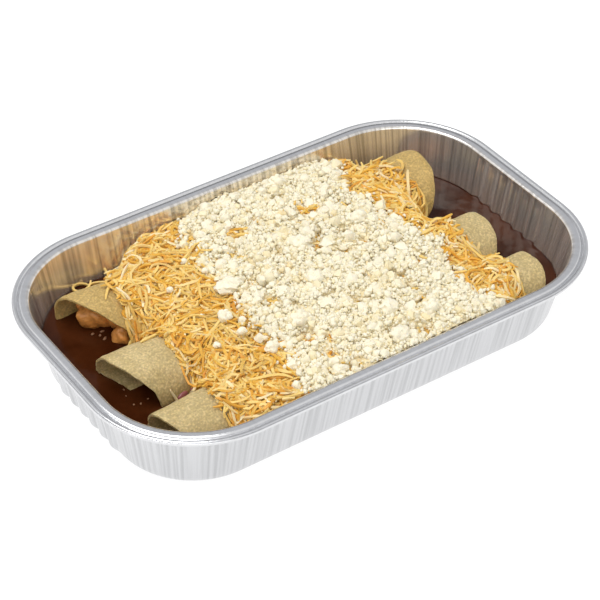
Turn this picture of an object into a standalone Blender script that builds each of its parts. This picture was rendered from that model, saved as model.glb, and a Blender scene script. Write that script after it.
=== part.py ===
"""Three rolled enchiladas in red sauce, under shredded and crumbled cheese, in a foil tray. Metres, +Z up.

The origin is on the surface that the tray stands on, under the middle of its rim. +X runs along the rolls.
"""

import math

import bmesh
import bpy
import numpy as np

# Tray: half length, half width and corner radius of the wall's outer face, at the rim and at the base
RIM_HALF = (0.1, 0.0605, 0.037)
BASE_HALF = (0.0941, 0.0527, 0.031)
RIM_Z = 0.033
FOIL = 0.0004
BASE_ROUND = 0.005
BASE_TURNS = (0, 45, 90)
RIM_ROUND = 0.0008
FLANGE_WIDTH = 0.0031
GROOVE_OUT = 0.0007
GROOVE_DROP = 0.0009
CURL_OUT = 0.0018
CURL_DROP = 0.00126
CURL_RADIUS = 0.0012
CURL_TURNS = (110, 60, 5, -50, -105)
RIB_PITCH = 0.007
RIB_COUNT = 6
RIB_DEPTH = 0.0007
CORNER_STEPS = 6

# Gap kept between pieces that touch
GAP = 0.0003

# Sauce: its level at the middle, and how it leans towards +X and +Y
SAUCE_Z = 0.0144
SAUCE_LEAN = (-0.0011, 0.0008)
SAUCE_LUMP = 0.0005
SAUCE_WAVES = (95, 40, 80, 30)
SAUCE_CELL = 0.014

# Rolled tortillas: a disc rolled up, its outer radius, and the radius growth at each flared end
DISC_RADIUS = 0.0803
TORTILLA = 0.0016
ROLL_RADIUS = 0.0145
LAYER_PITCH = 0.0022
LAYER_TURNS = (0.8, 0.2)
ROLL_STEPS = 18
ROLL_START = -0.5
ROLL_END = 0.8333
RING_PLACES = (-1.0, -0.62, 0.62, 1.0)
MOUTH_FLOOR = 0.0705
FLARE_LENGTH = 0.03
# For each roll: middle of the left end (y, z), middle of the right end (y, z), middle of its length (x), the
# angle round the roll where its edge reaches furthest, and the flare of the left and the right end
ROLLS = {
    "tortilla_1": ((0.0305, 0.0154), (0.031, 0.0166), -0.0012, 20, 0.0006, 0.003),
    "tortilla_2": ((-0.0038, 0.0154), (-0.0108, 0.0154), -0.0045, 60, 0.0008, 0.0),
    "tortilla_3": ((-0.038, 0.0154), (-0.0401, 0.0154), -0.0042, 65, -0.001, -0.0005),
}

# Filling: a lumpy log inside each roll, set back from its mouths, and the chunks that show in the first mouth
FILLING_RADIUS = 0.0095
FILLING_END = 0.063
FILLING_SIDES = 10
FILLING_RINGS = 6
FILLING_SWELL = 0.05
CHUNK_SIZE = 0.0056
CHUNK_OUT = 0.0033
CHUNK_ROUGHNESS = 0.12
# Middle (x, y, z) and half sizes of the chicken chunks at the first roll's left mouth
MOUTH_CHUNKS = (
    ((-0.0705, 0.033, 0.0181), (0.007, 0.0056, 0.0048)),
    ((-0.0665, 0.024, 0.0174), (0.006, 0.0045, 0.0045)),
)

# Cheese: where each layer starts and ends along the rolls, read at these places across the tray
ACROSS = (-0.057, -0.045, -0.03, -0.015, 0.0, 0.015, 0.03, 0.045, 0.056)
SHREDS_LEFT = (-0.067, -0.0655, -0.066, -0.064, -0.065, -0.067, -0.067, -0.056, -0.038)
SHREDS_RIGHT = (0.062, 0.066, 0.067, 0.063, 0.063, 0.064, 0.063, 0.063, 0.064)
CRUMBS_LEFT = (-0.0385, -0.036, -0.0335, -0.035, -0.03, -0.031, -0.032, -0.0285, -0.0235)
CRUMBS_RIGHT = (0.05, 0.047, 0.046, 0.052, 0.047, 0.044, 0.046, 0.048, 0.049)
RAMP_START = 0.35
SHREDS_TOP = 0.0305
SHREDS_RAMP = 0.014
SHREDS_LOW = 0.004
SHREDS_SINK = 0.0009
RUFFLE = 0.0005
RUFFLE_WAVES = (420, 130, 380)
HEAP_BASE = 0.002
HEAP_CROWN = 0.0025
CRUMBS_THICK = 0.0032
CRUMBS_RAMP = 0.008
CRUMBS_LOW = 0.002
BUMP = 0.0006
BUMP_WAVES = (900, 260, 840, 310)

# How far each cheese's block reaches from the middle of the tray before it is cut, and the size of its cells
TRAY_SPREAD = (RIM_HALF[0], RIM_HALF[1])
SHREDS_SPREAD = (0.8 * RIM_HALF[0], RIM_HALF[1])
CRUMBS_SPREAD = (0.62 * RIM_HALF[0], RIM_HALF[1])
SHREDS_CELL = 0.0065
CRUMBS_CELL = 0.0065

# Shreds: how many stand out, their length, their width and thickness, and how they lie
SHRED_COUNT = 53
SHRED_LENGTH = (0.011, 0.018)
SHRED_SIZE = (0.0016, 0.0013)
SHRED_STEPS = 2
SHRED_HEADINGS = 8
SHRED_BEND = 0.7
SHRED_ARCH = 0.0007
SHRED_LIFT = 0.0001
SHRED_ROOT = 0.0009
SHRED_CLEAR = 0.0021
CRUMBS_CLEAR = 0.0025
WALL_CLEAR = 0.0055

# Crumbs: how many stand out, their radii, how far inside the layer they lie, and the one large flat crumb
CRUMB_COUNT = 76
CRUMB_RADIUS = (0.0013, 0.0027)
CRUMB_ROUGHNESS = 0.16
CRUMB_INSIDE = 0.9
CRUMB_WALL_CLEAR = 0.007
FLAT_CRUMB = (-0.0315, -0.001)
FLAT_CRUMB_HALF = (0.0058, 0.0046, 0.0028)
FLAT_CRUMB_LIFT = 0.0016

# The root of x^3 = x + 1, whose powers spread points evenly over a rectangle
PLASTIC = 1.3247179572447
SEED = 7

rng = np.random.default_rng(SEED)


def collection(name):
    made = bpy.data.collections.new(name)
    bpy.context.scene.collection.children.link(made)
    return made


def clear_scene():
    for obj in list(bpy.data.objects):
        bpy.data.objects.remove(obj, do_unlink=True)


def material(name, colour, roughness, metallic=0.0):
    made = bpy.data.materials.new(name)
    made.use_nodes = True
    shader = made.node_tree.nodes["Principled BSDF"]
    shader.inputs["Base Color"].default_value = (*colour, 1.0)
    shader.inputs["Roughness"].default_value = roughness
    shader.inputs["Metallic"].default_value = metallic
    return made


def add_object(name, points, faces, group, surface=None):
    mesh = bpy.data.meshes.new(name)
    mesh.from_pydata([tuple(p) for p in points], [], [tuple(f) for f in faces])
    if surface:
        mesh.materials.append(surface)
    obj = bpy.data.objects.new(name, mesh)
    group.objects.link(obj)
    return obj


def loft(name, rings, group, surface=None, around=True, first_cap=False, last_cap=False):
    """Joins rings of equally many points with quads. The caps close the first and the last ring."""
    count = len(rings[0])
    points = np.concatenate(rings)
    faces = []
    for i in range(len(rings) - 1):
        for j in range(count if around else count - 1):
            k = (j + 1) % count
            faces.append((i * count + j, i * count + k, (i + 1) * count + k, (i + 1) * count + j))
    if first_cap:
        faces.append(range(count - 1, -1, -1))
    if last_cap:
        faces.append(range((len(rings) - 1) * count, len(rings) * count))
    return add_object(name, points, faces, group, surface)


def point_outwards(obj):
    made = bmesh.new()
    made.from_mesh(obj.data)
    bmesh.ops.recalc_face_normals(made, faces=made.faces)
    made.to_mesh(obj.data)
    made.free()


def islands(made):
    """The separate bodies of a mesh, as lists of faces. Bodies that only touch along an edge are separate."""
    left = set(made.faces)
    while left:
        body = [left.pop()]
        for face in body:
            edges = [edge for edge in face.edges if len(edge.link_faces) == 2]
            near = {f for edge in edges for f in edge.link_faces} & left
            left -= near
            body.extend(near)
        yield body


def signed_volume(body):
    """Six times the volume that a body's faces enclose, negative for the wall of a sealed hollow."""
    total = 0.0
    for face in body:
        first, *rest = [loop.vert.co for loop in face.loops]
        total += sum(first.dot(b.cross(c)) for b, c in zip(rest, rest[1:]))
    return total


def keep_largest_body(obj):
    """Drops loose scraps and fills sealed hollows, both of which are separate bodies of the mesh."""
    made = bmesh.new()
    made.from_mesh(obj.data)
    bodies = sorted(islands(made), key=signed_volume)
    scraps = [face for body in bodies[:-1] for face in body]
    bmesh.ops.delete(made, geom=scraps, context="FACES")
    made.to_mesh(obj.data)
    made.free()


def apply_modifiers(obj):
    graph = bpy.context.evaluated_depsgraph_get()
    shape = bpy.data.meshes.new_from_object(obj.evaluated_get(graph))
    obj.modifiers.clear()
    obj.data = shape


def boolean(obj, operation, *others):
    """Cuts a shape by others, or keeps what they share. The exact solver leaves folded faces here."""
    for other in others:
        step = obj.modifiers.new(operation.lower(), "BOOLEAN")
        step.solver = "MANIFOLD"
        step.operation = operation
        step.object = other
        apply_modifiers(obj)


def join_pieces(obj, pieces):
    """One union of a core and a collection of pieces, whose objects are then removed."""
    step = obj.modifiers.new("pieces", "BOOLEAN")
    step.operation = "UNION"
    step.solver = "MANIFOLD"
    step.operand_type = "COLLECTION"
    step.collection = pieces
    apply_modifiers(obj)
    for piece in list(pieces.objects):
        bpy.data.objects.remove(piece, do_unlink=True)
    bpy.data.collections.remove(pieces)
    keep_largest_body(obj)


def smooth(value):
    t = np.clip(value, 0, 1)
    return t * t * (3 - 2 * t)


def outline(half, z, ribs=0.0):
    """A rounded rectangle of half sizes and corner radius, with ribs pressed outwards on the short ends."""
    length, width, radius = half
    points = []
    for side in (1, -1):
        for k in range(2 * RIB_COUNT + 1):
            out = ribs * (k % 2)
            points.append((side * (length + out), side * (k - RIB_COUNT) * RIB_PITCH / 2, z))
        for corner in (1, -1):
            for k in range(CORNER_STEPS + 1):
                turn = math.radians(90 * k / CORNER_STEPS + (0 if corner == 1 else 90))
                x = corner * side * (length - radius) + side * radius * math.cos(turn)
                points.append((x, side * (width - radius + radius * math.sin(turn)), z))
    return np.array(points)


def wall_half(height, inwards=0.0):
    """The half sizes of the tray's inner wall at a height, moved inwards by a distance."""
    t = height / RIM_Z
    return tuple(b + (r - b) * t - inwards for b, r in zip(BASE_HALF, RIM_HALF))


def base_rings(clear, ribs=0.0):
    """Rings round the base's rounded edge, from floor up to wall, kept a distance clear of the inner face."""
    rings = []
    for turn in BASE_TURNS:
        angle = math.radians(turn)
        inwards = BASE_ROUND * (1 - math.sin(angle))
        height = FOIL + BASE_ROUND * (1 - math.cos(angle))
        half = wall_half(height, inwards + FOIL + clear)
        rings.append(outline(half, height + clear * math.cos(angle), ribs * (turn == BASE_TURNS[-1])))
    return rings


def tray_rings():
    """The tray's inner face from the floor's edge up the wall, over the flange and round the curl."""
    rib_top = RIM_Z - 3 * RIM_ROUND
    rings = base_rings(0.0, RIB_DEPTH)
    rings.append(outline(wall_half(rib_top, FOIL), rib_top, RIB_DEPTH))
    rings.append(outline(wall_half(RIM_Z - RIM_ROUND, FOIL), RIM_Z - RIM_ROUND))
    rings.append(outline(wall_half(RIM_Z, -RIM_ROUND), RIM_Z))
    rings.append(outline(wall_half(RIM_Z, -FLANGE_WIDTH), RIM_Z))
    rings.append(outline(wall_half(RIM_Z, -FLANGE_WIDTH - GROOVE_OUT), RIM_Z - GROOVE_DROP))
    for turn in CURL_TURNS:
        angle = math.radians(turn)
        out = FLANGE_WIDTH + CURL_OUT + CURL_RADIUS * math.cos(angle)
        height = RIM_Z - CURL_DROP + CURL_RADIUS * math.sin(angle)
        rings.append(outline(wall_half(RIM_Z, -out), height))
    return rings


def build_tray(group):
    surface = material("aluminium", (0.72, 0.72, 0.73), 0.32, 1.0)
    tray = loft("tray", tray_rings(), group, surface, first_cap=True)
    point_outwards(tray)
    shell = tray.modifiers.new("foil", "SOLIDIFY")
    shell.thickness = FOIL
    shell.offset = -1.0
    shell.use_even_offset = True
    apply_modifiers(tray)
    return tray


def build_inside(group):
    """The space inside the tray, kept a gap clear of its floor and walls, and open above the rim."""
    rings = base_rings(GAP)
    for height in (RIM_Z, 2 * RIM_Z):
        rings.append(outline(wall_half(RIM_Z, FOIL + GAP), height))
    inside = loft("inside", rings, group, first_cap=True, last_cap=True)
    point_outwards(inside)
    return inside


def sauce_height(x, y):
    """A thick sauce's level: a slight lean and a few low swells."""
    lean = SAUCE_LEAN[0] * x / RIM_HALF[0] + SAUCE_LEAN[1] * y / RIM_HALF[1]
    a, b, c, d = SAUCE_WAVES
    return SAUCE_Z + lean + SAUCE_LUMP * np.sin(a * x + b * y) * np.cos(c * y - d * x)


def roll_line(roll, x):
    """The middle of a roll (y, z) and its outer radius at a place along it."""
    (left_y, left_z), (right_y, right_z), middle, _, flare_left, flare_right = roll
    t = (np.asarray(x) - middle) / (2 * DISC_RADIUS) + 0.5
    radius = ROLL_RADIUS + flare_left * smooth(1 - t * 2 * DISC_RADIUS / FLARE_LENGTH)
    radius = radius + flare_right * smooth(1 - (1 - t) * 2 * DISC_RADIUS / FLARE_LENGTH)
    return left_y + (right_y - left_y) * t, left_z + (right_z - left_z) * t, radius


def roll_top(x, y):
    """The height of the rolls' backs, or nothing where no roll lies."""
    top = np.zeros_like(x)
    for roll in ROLLS.values():
        mid_y, mid_z, radius = roll_line(roll, x)
        rise = np.sqrt(np.maximum(radius**2 - (y - mid_y) ** 2, 0))
        on_roll = (np.abs(y - mid_y) < radius) & (np.abs(x - roll[2]) < DISC_RADIUS)
        top = np.where(on_roll, np.maximum(top, mid_z + rise), top)
    return top


def ring_round(roll, x, out, angle):
    """Points round a roll at places along it, each at an angle and a distance outside the roll's radius."""
    mid_y, mid_z, radius = roll_line(roll, x)
    return np.stack([x, mid_y + (radius + out) * np.cos(angle), mid_z + (radius + out) * np.sin(angle)], 1)


def build_tortilla(name, group, surface):
    """A disc rolled up: the far edge lies inside, and each turn is a layer further out than the last."""
    roll = ROLLS[name]
    middle, full_at = roll[2], math.radians(roll[3])
    turns = np.arange(round(ROLL_START * ROLL_STEPS), round(ROLL_END * ROLL_STEPS) + 1) / ROLL_STEPS
    reach = np.sqrt(DISC_RADIUS**2 - (turns * 2 * math.pi * ROLL_RADIUS) ** 2)
    inside = smooth((turns[-1] - turns - LAYER_TURNS[0]) / LAYER_TURNS[1])
    angle = full_at + turns * 2 * math.pi
    rings = [ring_round(roll, middle + part * reach, -LAYER_PITCH * inside, angle) for part in RING_PLACES]
    tortilla = loft(name, rings, group, surface, around=False)
    sheet = tortilla.modifiers.new("thickness", "SOLIDIFY")
    sheet.thickness = TORTILLA
    sheet.offset = -1.0
    apply_modifiers(tortilla)
    tortilla.data.shade_smooth()
    return tortilla


def build_roll_space(name, group):
    """A roll's outer form, a gap larger all round, with a blind hollow at each mouth."""
    roll = ROLLS[name]
    middle, full_at = roll[2], math.radians(roll[3])
    angle = np.arange(ROLL_STEPS) / ROLL_STEPS * 2 * math.pi + full_at
    wound = (np.arange(ROLL_STEPS) / ROLL_STEPS + 0.5) % 1 - 0.5
    reach = np.sqrt(DISC_RADIUS**2 - (wound * 2 * math.pi * ROLL_RADIUS) ** 2)
    wall = TORTILLA + LAYER_PITCH + 2 * GAP
    mouth = np.maximum(reach, MOUTH_FLOOR + TORTILLA) + 2 * GAP
    floor = np.full_like(reach, MOUTH_FLOOR)
    # Each ring's place along the roll, and its distance outside the roll's radius
    places = [(-floor, -wall), (-mouth, -wall), (-mouth, GAP)]
    places += [(part * reach, GAP) for part in RING_PLACES[1:-1]]
    places += [(mouth, GAP), (mouth, -wall), (floor, -wall)]
    rings = [ring_round(roll, middle + along, out, angle) for along, out in places]
    space = loft("space_" + name, rings, group, first_cap=True, last_cap=True)
    point_outwards(space)
    return space


def lump(name, middle, half, group, dice, roughness):
    """An uneven lump: a low ball with its points moved at random."""
    made = bmesh.new()
    bmesh.ops.create_icosphere(made, subdivisions=1, radius=1.0)
    shape = bpy.data.meshes.new(name)
    for vert in made.verts:
        vert.co *= 1 + roughness * dice.uniform(-1, 1)
        vert.co.x, vert.co.y, vert.co.z = (m + h * c for m, h, c in zip(middle, half, vert.co))
    made.to_mesh(shape)
    made.free()
    obj = bpy.data.objects.new(name, shape)
    group.objects.link(obj)


def build_filling(index, name, group, surface=None, extra=0.0):
    """A log of filling along a roll, with two chunks at each end. Its cutter is the same, larger by extra."""
    roll = ROLLS[name]
    dice = np.random.default_rng(SEED + index)
    angle = np.arange(FILLING_SIDES) / FILLING_SIDES * 2 * math.pi
    rings = []
    for x in np.linspace(-FILLING_END - extra, FILLING_END + extra, FILLING_RINGS) + roll[2]:
        mid_y, mid_z, _ = roll_line(roll, x)
        radius = FILLING_RADIUS * (1 + FILLING_SWELL * np.sin(3 * angle + x / FILLING_RADIUS)) + extra
        around = (np.full(FILLING_SIDES, x), mid_y + radius * np.cos(angle), mid_z + radius * np.sin(angle))
        rings.append(np.stack(around, 1))
    filling = loft(f"filling_{index}", rings, group, surface, first_cap=True, last_cap=True)
    point_outwards(filling)
    pieces = collection(f"chunks_{index}")
    for end in (-1, 1):
        x = roll[2] + end * FILLING_END
        mid_y, mid_z, _ = roll_line(roll, x)
        for turn in (end, end + math.pi):
            middle = (x, mid_y + CHUNK_OUT * math.cos(turn), mid_z + CHUNK_OUT * math.sin(turn))
            half = [CHUNK_SIZE * dice.uniform(0.8, 1.0) + extra for _ in range(3)]
            lump("chunk", middle, half, pieces, dice, CHUNK_ROUGHNESS)
    if index == 1:
        for middle, half in MOUTH_CHUNKS:
            lump("mouth_chunk", middle, [size + extra for size in half], pieces, dice, CHUNK_ROUGHNESS)
    join_pieces(filling, pieces)
    return filling


def layer_edge(x, y, left, right, ramp):
    """Rises from 0 outside a layer's two ends to 1 inside them, over the ramp."""
    start = np.interp(y, ACROSS, left)
    stop = np.interp(y, ACROSS, right)
    return smooth((x - start) / ramp + RAMP_START) * smooth((stop - x) / ramp + RAMP_START)


def shreds_edge(x, y):
    return layer_edge(x, y, SHREDS_LEFT, SHREDS_RIGHT, SHREDS_RAMP)


def crumbs_edge(x, y):
    return layer_edge(x, y, CRUMBS_LEFT, CRUMBS_RIGHT, CRUMBS_RAMP)


def shreds_height(x, y):
    """The top of the shredded cheese: a low crown, ruffled where it shows and pressed in under the crumbs."""
    crown = HEAP_CROWN * (1 - (y / RIM_HALF[1]) ** 2) * (1 - (x / RIM_HALF[0]) ** 2)
    under = crumbs_edge(x, y)
    a, b, c = RUFFLE_WAVES
    ruffle = RUFFLE * np.sin(a * x + 3 * np.sin(b * y)) * np.cos(c * y)
    full = SHREDS_TOP + crown + ruffle * (1 - under) - SHREDS_SINK * under
    return SHREDS_LOW + (full - SHREDS_LOW) * shreds_edge(x, y)


def crumbs_height(x, y):
    """The top of the crumbled cheese: bumps on the shreds, which run out below their top at both ends."""
    edge = crumbs_edge(x, y)
    a, b, c, d = BUMP_WAVES
    bumps = BUMP * np.sin(a * x + b * y) * np.cos(c * y - d * x)
    return shreds_height(x, y) + (CRUMBS_THICK + bumps) * edge - CRUMBS_LOW * (1 - edge)


def at(height, x, y):
    """A height function's value at one place."""
    return float(height(np.array(x), np.array(y)))


def field(name, height, low, spread, cell, group, surface=None, lift=0.0):
    """A block whose top face follows a height worked out at each place, and whose base is flat."""
    made = bmesh.new()
    steps_x, steps_y = (round(2 * half / cell) for half in spread)
    bmesh.ops.create_grid(made, x_segments=steps_x, y_segments=steps_y, size=1.0)
    points = np.array([vert.co for vert in made.verts])
    x, y = points[:, 0] * spread[0], points[:, 1] * spread[1]
    tops = np.maximum(height(x, y) + lift, low + GAP)
    for vert, place in zip(made.verts, zip(x, y, tops)):
        vert.co = place
    edges = [edge for edge in made.edges if edge.is_boundary]
    skirt = bmesh.ops.extrude_edge_only(made, edges=edges)["geom"]
    for vert in (item for item in skirt if isinstance(item, bmesh.types.BMVert)):
        vert.co.z = low
    bmesh.ops.holes_fill(made, edges=[edge for edge in made.edges if edge.is_boundary])
    bmesh.ops.recalc_face_normals(made, faces=made.faces)
    shape = bpy.data.meshes.new(name)
    made.to_mesh(shape)
    made.free()
    if surface:
        shape.materials.append(surface)
    obj = bpy.data.objects.new(name, shape)
    group.objects.link(obj)
    return obj


def build_sauce(group, surface, inside, spaces):
    sauce = field("sauce", sauce_height, 0.0, TRAY_SPREAD, SAUCE_CELL, group, surface)
    boolean(sauce, "INTERSECT", inside)
    boolean(sauce, "DIFFERENCE", *spaces)
    keep_largest_body(sauce)
    return sauce


def scatter(count, spread, fits):
    """What fits makes of places spread evenly over a rectangle, up to a count of those where it fits."""
    found = []
    k = 0
    while len(found) < count:
        k += 1
        x = (k / PLASTIC % 1 * 2 - 1) * spread[0]
        y = (k / PLASTIC**2 % 1 * 2 - 1) * spread[1]
        made = fits(x, y)
        if made is not None:
            found.append(made)
    return found


def shred_line(x, y, length, heading, bend, steps):
    """Places along a curved shred (x, y), which way it runs there, and how far along it each is."""
    t = np.linspace(-0.5, 0.5, steps + 1)
    turn = heading + bend * t
    return x + length * t * np.cos(turn), y + length * t * np.sin(turn), turn, t


def lies_clear(line):
    """Whether a shred along this line clears the rolls, the sauce, the crumbs and the walls."""
    side = np.array([-SHRED_SIZE[0], 0, SHRED_SIZE[0]])[:, None]
    x = line[0] - side * np.sin(line[2])
    y = line[1] + side * np.cos(line[2])
    depth = shreds_height(x, y) - np.maximum(roll_top(x, y), sauce_height(x, y))
    from_flat_crumb = np.hypot(x - FLAT_CRUMB[0], y - FLAT_CRUMB[1])
    return (
        depth.min() > SHRED_CLEAR
        and max(crumbs_edge(x + away, y).max() for away in (-CRUMBS_CLEAR, CRUMBS_CLEAR)) < 0.01
        and np.abs(y).max() < RIM_HALF[1] - WALL_CLEAR
        and from_flat_crumb.min() > 1.4 * FLAT_CRUMB_HALF[0]
    )


def fitting_shred(x, y):
    """A shred of a random length and bend, at the first of a few headings where it lies clear, if any."""
    length, bend = rng.uniform(*SHRED_LENGTH), rng.uniform(-SHRED_BEND, SHRED_BEND)
    first = rng.uniform(0, math.pi)
    for k in range(SHRED_HEADINGS):
        shape = (x, y, length, first + k * math.pi / SHRED_HEADINGS, bend)
        if lies_clear(shred_line(*shape, 4 * SHRED_STEPS)):
            return shape
    return None


def shred(shape, group):
    """A curved strip that lies on the cheese and is rooted in it, so that no pocket is left under it."""
    x, y, turn, t = shred_line(*shape, SHRED_STEPS)
    z = shreds_height(x, y) + SHRED_ARCH * (1 - 4 * t * t) + SHRED_LIFT
    up = np.array([0.0, 0.0, SHRED_SIZE[1] / 2])
    root = up + np.array([0.0, 0.0, SHRED_ROOT])
    rings = []
    for middle, way in zip(np.stack([x, y, z], 1), turn):
        side = np.array([-math.sin(way), math.cos(way), 0.0]) * SHRED_SIZE[0] / 2
        rings.append(middle + np.array([side - root, side + up, up - side, -side - root]))
    strip = loft("shred", rings, group, first_cap=True, last_cap=True)
    point_outwards(strip)


def build_shredded_cheese(group, surface, inside, spaces, sauce_space):
    cheese = field("shredded_cheese", shreds_height, HEAP_BASE, SHREDS_SPREAD, SHREDS_CELL, group, surface)
    boolean(cheese, "INTERSECT", inside)
    boolean(cheese, "DIFFERENCE", sauce_space, *spaces)
    keep_largest_body(cheese)
    pieces = collection("shreds")
    for shape in scatter(SHRED_COUNT, SHREDS_SPREAD, fitting_shred):
        shred(shape, pieces)
    join_pieces(cheese, pieces)
    return cheese


def fitting_crumb(x, y):
    """A random size for a crumb here, if here is well inside the layer."""
    radius = rng.uniform(*CRUMB_RADIUS)
    inside = at(crumbs_edge, x, y) > CRUMB_INSIDE and abs(y) < RIM_HALF[1] - CRUMB_WALL_CLEAR
    return (x, y, radius) if inside else None


def build_crumbled_cheese(group, surface, inside, cheese_space):
    crumbs = field("crumbled_cheese", crumbs_height, HEAP_BASE, CRUMBS_SPREAD, CRUMBS_CELL, group, surface)
    pieces = collection("crumbs")
    for x, y, radius in scatter(CRUMB_COUNT, CRUMBS_SPREAD, fitting_crumb):
        half = [radius * rng.uniform(0.8, 1.1) for _ in range(3)]
        lump("crumb", (x, y, at(crumbs_height, x, y)), half, pieces, rng, CRUMB_ROUGHNESS)
    flat_z = at(crumbs_height, *FLAT_CRUMB) + FLAT_CRUMB_LIFT
    lump("flat_crumb", (*FLAT_CRUMB, flat_z), FLAT_CRUMB_HALF, pieces, rng, CHUNK_ROUGHNESS)
    join_pieces(crumbs, pieces)
    boolean(crumbs, "INTERSECT", inside)
    boolean(crumbs, "DIFFERENCE", cheese_space)
    keep_largest_body(crumbs)
    return crumbs


def main():
    clear_scene()
    enchiladas = collection("enchiladas")
    cutters = collection("cutters")
    corn = material("corn_tortilla", (0.62, 0.5, 0.25), 0.75)
    chicken = material("chicken_filling", (0.6, 0.28, 0.1), 0.5)
    build_tray(enchiladas)
    inside = build_inside(cutters)
    spaces, filling_spaces = [], []
    for index, name in enumerate(ROLLS, 1):
        build_tortilla(name, enchiladas, corn)
        filling = build_filling(index, name, enchiladas, chicken)
        spaces.append(build_roll_space(name, cutters))
        filling_spaces.append(build_filling(index, name, cutters, extra=2 * GAP))
        filling.data.shade_smooth()
    red = material("red_sauce", (0.12, 0.03, 0.01), 0.2)
    build_sauce(enchiladas, red, inside, spaces + filling_spaces)
    sauce_space = field("sauce_space", sauce_height, -GAP, TRAY_SPREAD, SAUCE_CELL, cutters, lift=GAP)
    orange = material("shredded_cheese", (0.85, 0.5, 0.12), 0.5)
    build_shredded_cheese(enchiladas, orange, inside, spaces, sauce_space)
    cheese_space = field("cheese_space", shreds_height, 0.0, SHREDS_SPREAD, SHREDS_CELL, cutters, lift=GAP)
    cream = material("crumbled_cheese", (0.88, 0.85, 0.68), 0.8)
    build_crumbled_cheese(enchiladas, cream, inside, cheese_space)
    for cutter in list(cutters.objects):
        bpy.data.objects.remove(cutter, do_unlink=True)
    bpy.data.collections.remove(cutters)


main()
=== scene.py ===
"""Three rolled enchiladas in red sauce, under shredded and crumbled cheese, in a foil tray.

Metres, +Z up. The origin is on the surface that the tray stands on, under the middle of its rim, and +X runs
along the rolls.
"""

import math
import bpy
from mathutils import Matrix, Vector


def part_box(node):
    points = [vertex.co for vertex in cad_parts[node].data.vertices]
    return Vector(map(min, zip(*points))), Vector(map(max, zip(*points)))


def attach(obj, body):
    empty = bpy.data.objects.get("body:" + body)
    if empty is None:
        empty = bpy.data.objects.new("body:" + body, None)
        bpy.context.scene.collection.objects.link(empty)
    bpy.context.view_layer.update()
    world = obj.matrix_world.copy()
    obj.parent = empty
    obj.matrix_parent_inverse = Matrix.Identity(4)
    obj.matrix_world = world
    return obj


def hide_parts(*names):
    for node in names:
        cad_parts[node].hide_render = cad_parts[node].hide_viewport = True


bl_info = {
    "name": "Enchiladas in a foil tray",
    "version": (1, 0, 0),
    "blender": (4, 5, 0),
    "location": "3D View > Sidebar > Enchiladas",
    "description": "Builds the foil, sauce, rolled tortillas and cheese round the packed model",
    "category": "Add Mesh",
}

import bpy
import numpy as np
from bpy.props import FloatProperty, FloatVectorProperty, IntProperty, PointerProperty
from mathutils import Matrix, Vector

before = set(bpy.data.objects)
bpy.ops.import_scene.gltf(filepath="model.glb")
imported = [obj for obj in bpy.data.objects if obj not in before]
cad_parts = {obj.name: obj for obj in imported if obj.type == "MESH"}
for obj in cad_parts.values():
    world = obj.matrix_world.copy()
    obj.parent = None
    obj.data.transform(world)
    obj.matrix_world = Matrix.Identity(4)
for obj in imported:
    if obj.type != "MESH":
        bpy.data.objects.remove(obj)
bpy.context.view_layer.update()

TURN = 2 * math.pi
MM = 0.001

# Tray: half length, half width and corner radius of the wall's outer face, at the rim and at the base
RIM_HALF = np.array([0.1, 0.0605, 0.037])
BASE_HALF = np.array([0.0941, 0.0527, 0.031])
RIM_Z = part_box("tray")[1].z
FOIL = 0.0004
BASE_ROUND = 0.005
RIM_ROUND = 0.0008
FLANGE_WIDTH = 0.0031
GROOVE_OUT = 0.0007
GROOVE_DROP = 0.0009
CURL_OUT = 0.0018
CURL_DROP = 0.00126
CURL_RADIUS = 0.0012
RIB_PITCH = 0.007
RIB_COUNT = 6

# Foil's finish: drawing lines for each metre round the tray, up its walls and through it, where the wall ends
# along the profile, and the rim's roughness and dark streaks
DRAWING_LINES = (620.0, 11.0, 1.0)
WALL_END = (0.0345, 0.0365)
RIM_ROUGHNESS = 0.16
RIM_STREAK = 0.08

# Sauce: its level at the middle, how it leans towards +X and +Y, and its swells
SAUCE_Z = 0.0144
SAUCE_LEAN = (-0.0011, 0.0008)
SAUCE_LUMP = 0.0005
SAUCE_WAVES = (95, 40, 80, 30)
# How high the sauce climbs at what stands in it, and how far from it
CLIMB = 0.0008
CLIMB_REACH = 0.0009
# Its sides: heights, foil thicknesses inside the wall's outer face, and how much of the ribs they have
SIDE_Z = (0.0135, 0.009, 0.0062, 0.004, 0.002, 0.001)
SIDE_INWARDS = (1.1, 1.1, 1.1, 2.5, 5.5, 9.0)
SIDE_RIBS = (1, 1, 1, 0.8, 0.4, 0)

# Rolls: the flat disc's radius and thickness, the rolled one's radius, how far an inner layer is inside the
# outer one and where it moves in, both ends of the sheet in turns, and how long the flares are
DISC_RADIUS = 0.0803
TORTILLA = 0.0016
ROLL_RADIUS = 0.0145
LAYER_PITCH = 0.0022
LAYER_TURNS = (0.8, 0.2)
ROLL_START = -0.5
ROLL_END = 0.8333
FLARE_LENGTH = 0.03
# Each roll: middle of the left end (y, z), middle of the right end (y, z), middle of the length (x), the
# angle round the roll where its edge reaches furthest, in degrees, and how much each end flares
ROLLS = {
    "tortilla_1": ((0.0292, 0.0164), (0.031, 0.0166), -0.0012, 20, 0.0018, 0.003),
    "tortilla_2": ((-0.0049, 0.0154), (-0.0108, 0.0154), -0.0045, 60, 0.0008, 0.0),
    "tortilla_3": ((-0.0388, 0.0154), (-0.0401, 0.0154), -0.0042, 65, -0.001, -0.0005),
}
# How much further the left end of each roll reaches, how far its near side is cut back, and how much further
# the near side of its right end reaches
ENDS = {
    "tortilla_1": (0.0022, 0.0077, 0.002),
    "tortilla_2": (0.0025, 0.0065, 0.0023),
    "tortilla_3": (0.0024, 0.005, 0.0027),
}
# Where round a roll its left end is cut back and its right end reaches further, in degrees: middle and width
CUT_AT = (165, 50)
FURTHER_AT = (120, 60)
FILLING_RADIUS = 0.0095
FILLING_END = 0.063

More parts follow.
